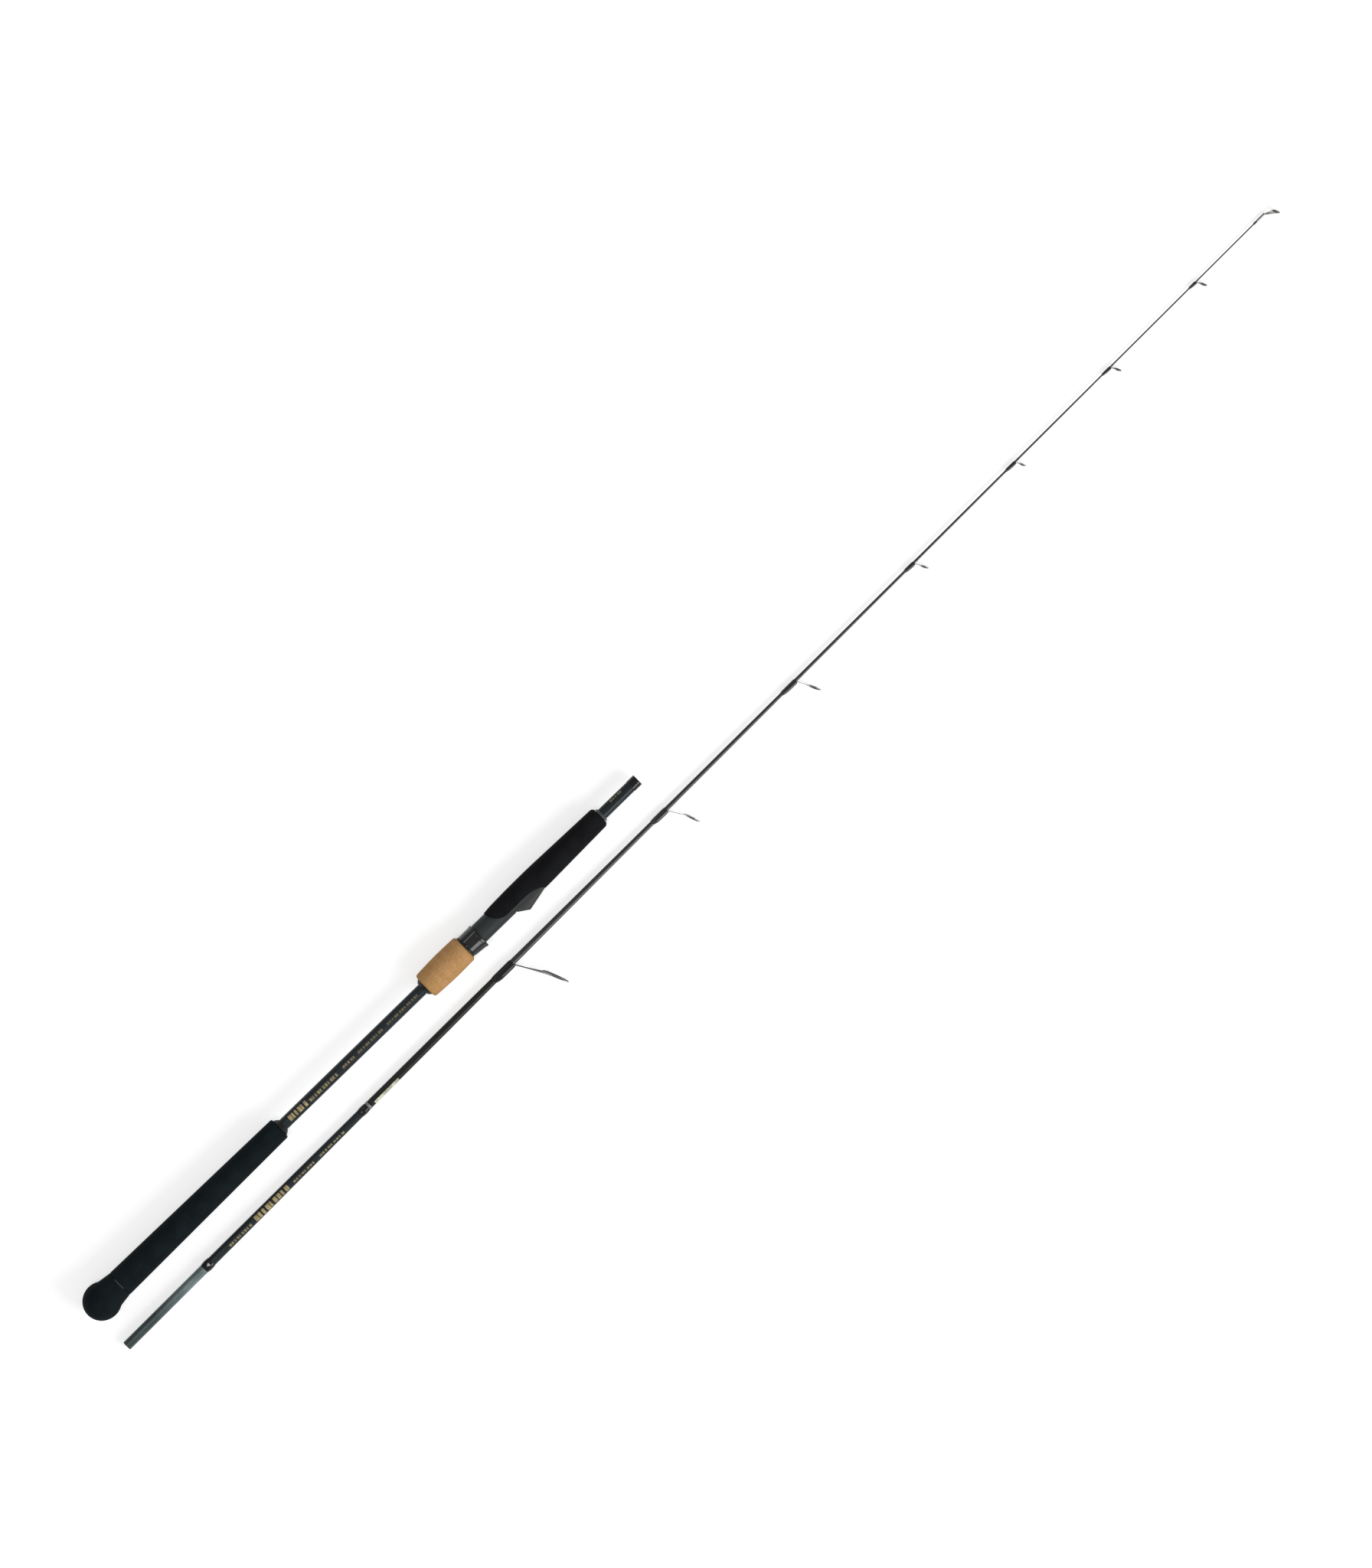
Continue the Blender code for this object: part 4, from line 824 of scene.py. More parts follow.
def sanded_finish(name, color, highlight_and_scratch_color):
    """Sanded carbon without lacquer: satin, scratched round the tube, with a patchy painted highlight near its
    stop.
    """
    sanded = Finish(name, TIP, color, 0.34, Specular_IOR_Level=0.35)
    scratch = sanded.noise(0.00018, 3, (1.0, 0.06, 0.06))
    tone = sanded.clouded(sanded.noise(0.012, 2), 0.85, 1.2)
    # Painted highlight: patches paler towards the stop stand for a lamp's reflection, and the scratches take the
    # same paler colour
    highlight_patches = sanded.between(sanded.noise(0.006, 3, (0.5, 1.0, 1.0)), 0.30, 0.62, 0.45, 1.0)
    highlight_stretch = sanded.between(sanded.along(), *(FERRULE_LENGTH * share for share in HIGHLIGHT_STRETCH))
    tone = sanded.blend(sanded.sum("MULTIPLY", highlight_stretch, highlight_patches), tone, highlight_and_scratch_color)
    scratched = sanded.between(scratch, 0.55, 0.8, 0.0, 0.5)
    sanded.paint(sanded.blend(scratched, tone, highlight_and_scratch_color), scratch, 0.30, 0.42)
    sanded.emboss(scratch, 0.000005, 0.4)
    return sanded.material


def thread_finish(name, section, color, coat=EPOXY):
    """Winding thread under clear epoxy: turns show beneath a smooth, wavy coat."""
    thread = Finish(name, section, color, 0.42, coat, Specular_IOR_Level=0.10)
    turns = thread.bands(bpy.context.scene.rod_detail.thread_pitch)
    thread.paint(thread.blend(turns, 0.5, 1.6))
    thread.emboss(turns, 0.00002, 0.6)
    thread.emboss(thread.noise(0.0035, 1), 0.00005, 0.15, "Coat Normal")
    return thread.material


def plastic_finish(name, color, roughness, grain=0.0004, depth=0.00002, coat=NO_POLISH):
    """Moulded plastic: an even, fine texture with slight changes of sheen."""
    level = 0.10 if coat is POLISH else 0.30
    plastic = Finish(name, HANDLE, color, roughness, coat, Specular_IOR_Level=level)
    cloud = plastic.noise(grain * 25, 3)
    tone = plastic.clouded(cloud, 0.90, 1.12)
    plastic.paint(tone, cloud, roughness * 0.9, min(1.0, roughness * 1.12))
    if depth:
        plastic.emboss(plastic.noise(grain, 2), depth, 0.5)
    return plastic.material


def fixed_hood_finish(color):
    """Moulded grey plastic, a little greener towards its front, with painted shade darkening its outer edge."""
    hood = Finish("fixed hood grey", HANDLE, color, 0.56, Specular_IOR_Level=0.20)
    cloud = hood.noise(0.0055, 3)
    tone = hood.clouded(cloud, 0.90, 1.12)
    front = hood.between(hood.along(), FIXED_HOOD_TOP, FIXED_HOOD_FRONT)
    tone = hood.blend(front, tone, shade(color, 0.92, 0.92, 0.80))
    # Painted shade, darkening the outer edge on the reel side against the long side lamp's light
    edge = hood.between(hood.along("Y"), -FIXED_HOOD_PEAK * FIXED_HOOD_SHADE_SHARE, -FIXED_HOOD_PEAK)
    hood.paint(hood.blend(edge, tone, 0.62), cloud, 0.50, 0.63)
    hood.emboss(hood.noise(0.00022, 2), 0.00002, 0.5)
    return hood.material


def cork_finish(color):
    """Sanded cork: fine granules under layers of darker streaks, brown dashes and small open pits."""
    grain = bpy.context.scene.rod_detail.cork_grain
    cork = Finish("cork", HANDLE, color, 0.78, Specular_IOR_Level=0.20)
    level = cork.put(cork.add("ShaderNodeSeparateColor"), Color=cork.cells(grain * 0.7, "Color"))
    tone = cork.blend(cork.between(level.outputs["Red"], 0, 1), 0.90, 1.10)
    patterns, strengths = {}, {}
    for layer in CORK_LAYERS:
        patterns[layer.name] = cork.noise(grain * layer.size, layer.detail, layer.stretch, layer.rough)
        strengths[layer.name] = cork.between(patterns[layer.name], layer.low, layer.high, 0.0, layer.most)
        tone = cork.blend(strengths[layer.name], tone, shade(color, *layer.shares))
    cork.paint(tone)
    ridges = cork.sum("MULTIPLY", patterns["streak"], 0.4)
    sunk = cork.sum("MAXIMUM", strengths["dash"], strengths["pit"])
    cork.emboss(cork.sum("SUBTRACT", ridges, sunk), 0.00008, 0.6)
    return cork.material


def metal_finish(name, color, roughness):
    """Polished or smoked metal with faint brushing."""
    metal = Finish(name, TIP, color, roughness, Metallic=1.0)
    brushed = metal.noise(0.00025, 2, (0.3, 1.0, 1.0))
    metal.paint(metal.blend(brushed, 0.8, 1.2), brushed, roughness * 0.85, roughness * 1.2)
    metal.emboss(brushed, 0.000008, 0.4)
    return metal.material


def ceramic_finish(name, color):
    """Polished dark ceramic with the faintest unevenness."""
    ceramic = Finish(name, TIP, color, 0.10, GLAZE)
    cloud = ceramic.noise(0.0015, 2)
    ceramic.paint(ceramic.blend(cloud, 0.8, 1.25), cloud, 0.08, 0.14)
    return ceramic.material


def print_finish(name, section, color, metallic, roughness):
    """Printed paint under the lacquer, thinner in places."""
    paint = Finish(name, section, color, roughness, PRINT_COAT, Metallic=metallic)
    tone = paint.blend(paint.between(paint.noise(0.0009, 3), 0.35, 0.7), color, 0.55)
    faded = paint.between(paint.noise(0.0060, 2), 0.44, 0.62)
    paint.paint(paint.blend(faded, tone, 0.45))
    return paint.material


def blank_radius(x):
    """The tip section's outer radius at a distance from its butt end."""
    for (back, wide), (front, thin) in zip(TIP_RADII, TIP_RADII[1:]):
        if x <= front:
            return wide + (thin - wide) * (x - back) / (front - back)
    return TIP_RADII[-1][1]


def handle_radius(x):
    """The handle tube's outer radius, which narrows a little towards its mouth."""
    share = max(0.0, min(1.0, (x - FOREGRIP_FRONT) / (MOUTH - FOREGRIP_FRONT)))
    return TUBE_RADIUS + (MOUTH_RADIUS - TUBE_RADIUS) * share


def facing(body):
    """The angle from the reel side, round a section's axis, of the side that lies uppermost."""
    up = SECTIONS[body].to_3x3().inverted() @ Vector((0, 0, 1))
    return math.atan2(up.z, -up.y)


def slab_ring(x, radius, angles):
    """One ring of a thin slab on a tube: along its outside one way and back along its inside."""
    sides = ((radius + MARK_LIFT, angles), (radius - MARK_LIFT, angles[::-1]))
    return [Vector((x, -reach * math.cos(a), reach * math.sin(a))) for reach, turns in sides for a in turns]


def printed_patch(radius_at, body, back, front, near, far):
    """A thin curved slab on a tube, as rings for one shell. Near and far lie across the tube, -1 to 1."""
    angles = [facing(body) - math.asin(near + (far - near) * k / 8) for k in range(9)]
    stations = [back + (front - back) * k / 4 for k in range(5)]
    return [slab_ring(x, radius_at(x), angles) for x in stations]


def stop_mark():
    """The oval dot on the stop winding, as rings for one thin shell."""
    rings = []
    for k in range(13):
        along = math.cos(math.pi * k / 12) * STOP_MARK_END_SHARE
        half = STOP_MARK_HALF_ACROSS * math.sqrt(1 - along * along)
        angles = [facing(TIP) + half * (1 - j / 4) for j in range(9)]
        rings.append(slab_ring(STOP_MARK_AT - STOP_MARK_HALF_LENGTH * along, FERRULE_WRAP_RADIUS, angles))
    return rings


def printed_bands(name, marks, radius_at, body, finish):
    """Rows of plain bars along a tube, each row with bars of uneven length."""
    shells = []
    for back, front, near, far, count, strength in marks:
        pitch = (front - back) / count
        for k in range(count):
            length = pitch * (BAR_SHARE + BAR_UNEVENNESS * math.sin(2.4 * k + 1)) if count > 1 else pitch
            start = back + pitch * k
            shells.append(printed_patch(radius_at, body, start, start + length, near, far))
    settle(lofted(name, shells), body, "blank_lacquer", None, finish)


def printed_rows(name, marks, radius_at, body, gold):
    """The rows of each strength in one piece, the weaker ones in a thinner print of the gold."""
    tube = body.split("_")[0]
    for strength, share in PRINT_STRENGTHS.items():
        rows = [mark for mark in marks if mark[-1] == strength]
        if rows:
            ink = print_finish(f"{tube} {strength} gold", body, shade(gold, share), 0.35, 0.45)
            printed_bands(f"{name}_{strength}", rows, radius_at, body, ink)


def build_ball(colours):
    """The ball, and the line of dry glue that shows where its neck meets the grip."""
    inside = TUBE_BACK - FIT_GAP
    crown = arc(BALL_HALF_LENGTH, 0.0, BALL_HALF_LENGTH, BALL_RADIUS, 180, BALL_SHOULDER_ANGLE, 26)
    ball = turned("ball", [
        (0.0, 0.0),
        *crown[1:],
        (BALL_LENGTH, BALL_NECK_RADIUS, 0.0003),
        (BALL_LENGTH, TUBE_FIT, 0.0003),
        (inside, TUBE_FIT),
        (inside, 0.0),
    ])
    settle(ball, HANDLE, "grip_foam", "butt_ball", foam_finish("ball foam", colours.foam))
    line = printed_patch(lambda x: BALL_NECK_RADIUS + MARK_LIFT, HANDLE, *GLUE_LINE)
    glue = plastic_finish("dry glue", colours.dry_glue, 0.6)
    settle(lofted("glue_line", [line]), HANDLE, "grip_foam", None, glue)


def build_rear_grip(colours):
    """The tapered foam grip, and the cone that ends it."""
    grip = turned("rear_grip_foam", [
        (GRIP_BACK, TUBE_FIT),
        (GRIP_BACK, REAR_GRIP_BACK_RADIUS, 0.0004),
        (GRIP_FRONT - 0.0004, REAR_GRIP_FRONT_RADIUS, 0.0016),
        (GRIP_FRONT, TUBE_FIT),
    ])
    settle(grip, HANDLE, "grip_foam", "rear_grip", foam_finish("rear grip foam", colours.foam))
    cone = sleeve(REAR_CHECK_BACK, REAR_CHECK_FRONT, TUBE_FIT, (REAR_CHECK_RADIUS, 0.0005), CHECK_EDGE)
    rubber = plastic_finish("rear check rubber", shade(colours.gloss_black, 0.7), 0.46)
    settle(turned("rear_check", cone), HANDLE, "black_check", "rear_grip_check", rubber)


def build_handle_tube(colours):
    """The tube with its socket, the winding at its mouth and its printed rows."""
    bore = TUBE_RADIUS - TUBE_WALL
    socket_back = MOUTH - SOCKET_DEPTH
    tube = turned("handle_tube", [
        (TUBE_BACK, bore),
        (TUBE_BACK, TUBE_RADIUS, 0.0002),
        (FOREGRIP_FRONT, TUBE_RADIUS),
        (MOUTH, MOUTH_RADIUS, 0.0002),
        (MOUTH, SOCKET_RADIUS, 0.0002),
        (socket_back, SOCKET_RADIUS),
        (socket_back, bore),
    ])
    lacquer = lacquer_finish("handle lacquer", HANDLE, colours.lacquer, THIN_LACQUER)
    settle(tube, HANDLE, "blank_lacquer", "handle_blank", lacquer)
    back, clear = MOUTH - MOUTH_WRAP_LENGTH, MOUTH_RADIUS + MOUTH_WRAP_CLEARANCE
    wrap = turned("mouth_thread", [
        (back, clear),
        (back + 0.0002, MOUTH_WRAP_RADIUS, 0.0010),
        (MOUTH - 0.0001, MOUTH_WRAP_RADIUS, 0.0007),
        (MOUTH, clear),
    ])
    thread = thread_finish("mouth thread", HANDLE, shade(colours.thread, 0.4), DULL_EPOXY)
    settle(wrap, HANDLE, "wrap_gloss", "mouth_wrap", thread)
    printed_rows("handle_bands", HANDLE_MARKS, handle_radius, HANDLE, colours.gold)


def hood_arch(x, slant, height, half_width, root, steps=28):
    """One section of the fixed hood: a squarish arch over the barrel, from one foot to the other."""
    points = []
    for k in range(steps + 1):
        angle = math.pi * k / steps
        level = abs(math.cos(angle)) ** FIXED_HOOD_SQUARENESS
        out = root + (height - root) * math.sin(angle) ** FIXED_HOOD_SQUARENESS
        across = math.copysign(level, math.cos(angle)) * half_width
        points.append(Vector((x + max(0.0, out - BARREL_RADIUS) * slant, -out, across)))
    return points


def hood_fall(x):
    """How far the fixed hood's ridge has come down from its peak."""
    return max(0.0, x - FIXED_HOOD_TOP) * FIXED_HOOD_FALL


def hood_pocket(depth):
    """The room in the fixed hood for the front of the reel's foot, open downwards to a depth."""
    room = []
    front = FIXED_HOOD_BACK + FIXED_HOOD_POCKET_LENGTH
    for x, narrow in ((FIXED_HOOD_BACK - FIXED_HOOD_WALL, 1.0), (FIXED_HOOD_TOP, 1.0), (front, 0.7)):
        height = FIXED_HOOD_PEAK - FIXED_HOOD_WALL - hood_fall(x)
        half_width = (FIXED_HOOD_WIDTH / 2 - FIXED_HOOD_WALL) * narrow
        arch = hood_arch(x, 0.0, height, half_width, FIXED_HOOD_POCKET_FLOOR)
        if depth:
            arch += [Vector((x, depth - FIXED_HOOD_POCKET_FLOOR, side * half_width)) for side in (-1, 1)]
        room.append(arch)
    return lofted("fixed_hood_pocket", [room])


def fixed_hood():
    """The fixed hood, open below its pocket, where the barrel is the floor."""
    middle = (BARREL_BORE_RADIUS + BARREL_RADIUS) / 2
    rake = FIXED_HOOD_RISE / (FIXED_HOOD_PEAK - BARREL_RADIUS)
    outside = []
    for k in range(13):
        share = k / 12
        x = FIXED_HOOD_BACK + FIXED_HOOD_LENGTH * share
        half_width = FIXED_HOOD_WIDTH / 2 * (1.0 - FIXED_HOOD_NARROWING * share)
        arch = hood_arch(x, rake * max(0.0, 1.0 - share * 3), FIXED_HOOD_PEAK - hood_fall(x), half_width,
                         FIXED_HOOD_ROOT)
        angles = [math.radians(turn) for turn in FIXED_HOOD_ROOT_TURNS]
        outside.append(arch + [Vector((x, -middle * math.cos(a), middle * math.sin(a))) for a in angles])
    hood = lofted("fixed_hood", [outside])
    cut(hood, hood_pocket(FIXED_HOOD_POCKET_FLOOR - BARREL_BORE_RADIUS + FIXED_HOOD_WALL), 32)
    return hood


def keyway():
    """The slot down the barrel's thread in which the moving hood's key slides."""
    low = (NUT_BACK - 2 * FIT_GAP, -BARREL_RADIUS * 1.2, -KEYWAY_WIDTH / 2)
    high = (HOOD_FRONT + HOOD_TRAVEL + FIT_GAP, -KEYWAY_FLOOR_RADIUS, KEYWAY_WIDTH / 2)
    return block("keyway", low, high, -KEYWAY_ANGLE)


def seat_thread():
    """The barrel's thread: one profile wound round the core, closed at both ends and cut for the key."""
    half, root = THREAD_WIDTH / 2, THREAD_CORE_RADIUS - THREAD_ROOT_DEPTH
    profile = ((-half, root), (-half / 2, THREAD_CREST_RADIUS), (half / 2, THREAD_CREST_RADIUS), (half, root))
    thread = traced("seat_thread", [(NUT_BACK + along, 0, radius) for along, radius in profile])
    bpy.ops.mesh.edge_face_add()
    bpy.ops.object.mode_set(mode="OBJECT")
    turns = int((THREAD_FRONT - NUT_BACK) / THREAD_PITCH) - 1
    apply_modifier(thread, "SCREW", axis="X", angle=math.tau, screw_offset=THREAD_PITCH,
                   iterations=turns, steps=THREAD_STEPS, render_steps=THREAD_STEPS, use_normal_calculate=True)
    bpy.ops.object.mode_set(mode="EDIT")
    bpy.ops.mesh.select_all(action="SELECT")
    bpy.ops.mesh.fill_holes(sides=0)
    leave_edit()
    cut(thread, keyway(), 40)
    return thread


def build_reel_seat(colours):
    """The cone behind the seat, the barrel with its thread and fixed hood, and the bushes' finish."""
    cone = sleeve(SEAT_CHECK_BACK, SEAT_CHECK_BACK + SEAT_CHECK_LENGTH, TUBE_FIT,
                  (SEAT_CHECK_BACK_RADIUS, 0.0006), (SEAT_CHECK_FRONT_RADIUS, 0.0007))
    rubber = plastic_finish("seat check rubber", colours.gloss_black, 0.34)
    settle(turned("seat_cone", cone), HANDLE, "black_check", "seat_check", rubber)
    barrel = turned("seat_barrel", [
        (SEAT_BACK, BARREL_BORE_RADIUS),
        (SEAT_BACK, THREAD_CORE_RADIUS, 0.0003),
        (THREAD_FRONT, THREAD_CORE_RADIUS),
        (THREAD_FRONT, BARREL_RADIUS, 0.0002),
        (SEAT_FRONT, BARREL_RADIUS, 0.0003),
        (SEAT_FRONT, BARREL_BORE_RADIUS),
    ])
    bed_low = (HOOD_FRONT + FIT_GAP, -BARREL_RADIUS * 1.2, -BARREL_RADIUS / 2)
    bed_high = (FIXED_HOOD_BACK - FIXED_HOOD_WALL / 2, BED_FLAT_DEPTH - BARREL_RADIUS, BARREL_RADIUS / 2)
    for cutter in (hood_pocket(0.0), keyway(), block("bed_flat", bed_low, bed_high)):
        cut(barrel, cutter, 13)
    slate = plastic_finish("seat slate", colours.seat, 0.56, 0.00022)
    settle(barrel, HANDLE, "seat_plastic", "reel_seat", slate)
    settle(seat_thread(), HANDLE, "seat_plastic", None, slate)
    settle(fixed_hood(), HANDLE, "seat_plastic", None, fixed_hood_finish(colours.fixed_hood))
    bush = plastic_finish("arbor foam", colours.arbor, 0.85, 0.0008, 0.00008)
    for node in ("rear_arbor", "front_arbor"):
        finish_node(node, bush)


def build_lock(colours):
    """The cork that locks the reel, its collar, and the threaded insert's finish."""
    back, front = CORK_BACK_ROUNDING, CORK_FRONT_ROUNDING
    cork = turned("cork", [
        (SEAT_BACK, CORK_BORE_RADIUS),
        *arc(SEAT_BACK + back, CORK_BACK_RADIUS - back, back, back, 180, 90, 8),
        ((SEAT_BACK + CORK_FRONT) / 2, CORK_MIDDLE_RADIUS, 0.0200),
        *arc(CORK_FRONT - front, CORK_FRONT_RADIUS - front, front, front, 90, 0, 8),
        (CORK_FRONT, CORK_BORE_RADIUS),
    ])
    settle(cork, "lock_nut", "cork", "cork_grip", cork_finish(colours.cork))
    satin = plastic_finish("collar plastic", shade(colours.gloss_black, 1.3), 0.36)
    edge = (COLLAR_RADIUS + 0.00003, 0.0003)
    collar = sleeve(COLLAR_BACK - FIT_GAP / 2, COLLAR_FRONT + 0.00002, BARREL_RADIUS + FIT_GAP, edge, edge)
    settle(turned("collar", collar), "lock_nut", "nut_plastic", None, satin)
    finish_node("lock_nut", satin)


def build_moving_hood(colours):
    """The hood that slides on the barrel, with its key inside and its lip in front."""
    bore = BARREL_RADIUS + FIT_GAP
    key_half = math.atan((KEYWAY_WIDTH / 2 - FIT_GAP) / bore)
    key_edge = key_half * (1 + HOOD_KEY_EDGE_SHARE)
    angles = [math.tau * k / HOOD_SIDES for k in range(HOOD_SIDES)]
    angles = sorted(angles + [KEYWAY_ANGLE + turn for turn in (-key_edge, -key_half, key_half, key_edge)])

    def bump(angle, half_angle):
        off = min(angle, math.tau - angle)
        return 0.5 + 0.5 * math.cos(math.pi * min(1.0, off / half_angle))

    def swell(x):
        along = (x - HOOD_BACK) / HOOD_LENGTH
        return HOOD_REEL_BACK_RADIUS + (HOOD_REEL_FRONT_RADIUS - HOOD_REEL_BACK_RADIUS) * along

    def ring(x, radius_at):
        return [Vector((x, -radius_at(a) * math.cos(a), radius_at(a) * math.sin(a))) for a in angles]

    def outer(x, extra):
        reach = HOOD_POCKET_HALF_ANGLE * HOOD_SWELL_SHARE
        rise = swell(x) - HOOD_BACK_RADIUS
        return ring(x, lambda a: HOOD_BACK_RADIUS + extra + rise * bump(a, reach))

    def inner(x, share):
        room = max(0.0, swell(x) - HOOD_WALL - bore) * share

        def radius_at(angle):
            if abs(angle - KEYWAY_ANGLE) < (key_half + key_edge) / 2:
                return bore - HOOD_KEY_HEIGHT
            return bore + room * bump(angle, HOOD_POCKET_HALF_ANGLE)

        return ring(x, radius_at)

    edge, step = HOOD_EDGE, HOOD_LIP_HEIGHT
    lip = HOOD_FRONT - HOOD_LIP_LENGTH
    pocket_back = HOOD_FRONT - HOOD_POCKET_LENGTH
    outside = (
        (HOOD_BACK, -edge), (HOOD_BACK + edge / 3, -edge / 3), (HOOD_BACK + edge, 0), (HOOD_BACK + 2 * edge, 0),
        (lip - step - edge, 0), (lip - step, 0), (lip - step / 2, step * 0.6), (lip, step), (lip + edge, step),
        (HOOD_FRONT - 2 * edge, step), (HOOD_FRONT - edge, step), (HOOD_FRONT - edge / 3, step - edge / 3),
        (HOOD_FRONT, step - edge),
    )
    inside = ((HOOD_FRONT, 1.0), (pocket_back + edge, 0.8), (pocket_back, 0.0), (HOOD_BACK, 0.0))
    rings = [outer(*station) for station in outside] + [inner(*station) for station in inside]
    gloss = plastic_finish("hood gloss", colours.gloss_black, 0.30, 0.0009, 0.0, POLISH)
    settle(lofted("sliding_hood", [rings], looped=True), "moving_hood", "hood_gloss", "moving_hood", gloss)


def foregrip_curve():
    """The solid cut away on the reel side along a curve like a long S."""
    reach = 2 * FOREGRIP_RADIUS
    flat_end = FOREGRIP_START + FOREGRIP_FLAT_END
    behind = FOREGRIP_START - CUTTER_REACH
    tail = FOREGRIP_RADIUS - FOREGRIP_SIDE_LEVEL + FIT_GAP
    outline = [
        *arc(FOREGRIP_START + FOREGRIP_BACK_CURVE, FOREGRIP_RADIUS, FOREGRIP_BACK_CURVE,
             FOREGRIP_RADIUS + FOREGRIP_SIDE_LEVEL, 180, 270, 24),
        *arc(flat_end, -FOREGRIP_SIDE_LEVEL - tail, FOREGRIP_FRONT_CURVE, tail, 90, 0, 20),
        (flat_end + FOREGRIP_FRONT_CURVE, -reach),
        (behind, -reach),
        (behind, FOREGRIP_RADIUS),
    ]
    curve = traced("foregrip_curve", [(x, y, -reach) for x, y in outline])
    bpy.ops.mesh.edge_face_add()
    bpy.ops.mesh.extrude_region_move(TRANSFORM_OT_translate={"value": (0, 0, 2 * reach)})
    leave_edit()
    return curve


def build_foregrip(colours):
    """The foregrip, cut away round the fixed hood, and the ring that ends it."""
    bore = BARREL_RADIUS + GLUE_GAP
    step = SEAT_FRONT + FIT_GAP
    grip = turned("foregrip_foam", [
        (FOREGRIP_START, bore),
        (FOREGRIP_START, FOREGRIP_EDGE_RADIUS, 0.0002),
        (FOREGRIP_START + FOREGRIP_BACK_CURVE / 2, (FOREGRIP_EDGE_RADIUS + FOREGRIP_RADIUS) / 2, 0.0050),
        (FOREGRIP_START + FOREGRIP_BACK_CURVE * 2, FOREGRIP_RADIUS - FIT_GAP / 2, 0.0100),
        (FOREGRIP_START + FOREGRIP_FLAT_END + FOREGRIP_FRONT_CURVE, FOREGRIP_RADIUS, 0.0100),
        (FOREGRIP_FRONT - FOREGRIP_CHAMFER, FOREGRIP_FRONT_RADIUS, 0.0010),
        (FOREGRIP_FRONT, FOREGRIP_FRONT_RADIUS - FOREGRIP_CHAMFER, 0.0006),
        (FOREGRIP_FRONT, TUBE_FIT),
        (step, TUBE_FIT),
        (step, bore),
    ])
    cut(grip, foregrip_curve(), 32)
    settle(grip, HANDLE, "grip_foam", "foregrip", foam_finish("foregrip foam", colours.foregrip_foam))
    ring = sleeve(WINDING_CHECK_BACK, WINDING_CHECK_FRONT, TUBE_FIT, (WINDING_CHECK_RADIUS, 0.0004), CHECK_EDGE)
    satin = plastic_finish("winding check satin", colours.winding_check, 0.42)
    settle(turned("winding_ring", ring), HANDLE, "winding_check", "foregrip_check", satin)


def wind(name, back, front, rise, slot, node, finish, sides=None):
    """A short winding on the tip section's blank, feathered at both ends."""
    feather = (front - back) * 0.3
    ends = []
    for x, inward in ((back, feather), (front, -feather)):
        radius = blank_radius(x)
        ends.append([(x, radius * 0.98), (x, radius + rise * 0.2), (x + inward, radius + rise, feather * 0.6)])
    settle(turned(name, ends[0] + ends[1][::-1], sides), TIP, slot, node, finish)


def build_tip_tube(colours):
    """The tip section's tube with its four finishes, its windings and its printed rows."""
    stop = FERRULE_LENGTH + FERRULE_WRAP_LENGTH / 2
    trim = TRIM_WRAP_BACK + TRIM_WRAP_LENGTH / 2
    glossy = GUIDES[0].root - GUIDES[0].wrap_length / 2
    stations = sorted([x for x, radius in TIP_RADII[1:-1]] + [stop, trim, glossy])
    tube = turned("tip_tube", [
        (0.0, TIP_RADII[0][1] - TIP_WALL),
        (0.0, TIP_RADII[0][1], 0.0004),
        *((x, blank_radius(x), TIP_EASING) for x in stations),
        (TIP_LENGTH, TIP_RADII[-1][1]),
        (TIP_LENGTH, 0.0),
        (TIP_SOLID_FROM, 0.0),
        (TIP_SOLID_FROM, blank_radius(TIP_SOLID_FROM) - TIP_WALL),
    ])
    for index, low, high in ((1, -math.inf, stop), (2, trim, math.inf), (3, trim, glossy)):
        finish_faces(tube, index, lambda centre: low < centre.x < high)
    settle(
        tube, TIP, "blank_lacquer", "tip_blank",
        lacquer_finish("tip lacquer", TIP, colours.lacquer, THIN_LACQUER),
        sanded_finish("ferrule satin", colours.ferrule, colours.ferrule_highlight_and_scratch),
        lacquer_finish("farther tip lacquer", TIP, colours.farther_lacquer, HAZY_LACQUER),
        lacquer_finish("middle tip lacquer", TIP, colours.farther_lacquer, MIDDLE_LACQUER))
    thread = thread_finish("tip thread", TIP, colours.thread)
    silver = print_finish("silver thread", TIP, colours.silver, 0.0, 0.50)
    stop_rise = FERRULE_WRAP_RADIUS - blank_radius(FERRULE_LENGTH)
    trim_front = TRIM_WRAP_BACK + TRIM_WRAP_LENGTH
    ring_back = trim_front + FIT_GAP
    wind("stop_thread", FERRULE_LENGTH, FERRULE_LENGTH + FERRULE_WRAP_LENGTH, stop_rise,
         "wrap_gloss", "ferrule_wrap", thread)
    wind("trim_thread", TRIM_WRAP_BACK, trim_front, WRAP_GLOSS_RISE, "wrap_gloss", "trim_wrap", thread)
    wind("silver_trim", ring_back, ring_back + TRIM_RING_LENGTH, GLUE_GAP + TRIM_THREAD,
         "silver_trim", "trim_ring", silver)
    printed_rows("tip_bands", TIP_MARKS, blank_radius, TIP, colours.gold)
    cream = print_finish("cream print", TIP, colours.cream, 0.0, 0.45)
    printed_bands("cream_strip", (CREAM_STRIP,), blank_radius, TIP, cream)
    white = print_finish("stop mark white", TIP, colours.stop_white, 0.0, 0.40)
    settle(lofted("stop_mark", [stop_mark()]), TIP, "wrap_gloss", None, white)


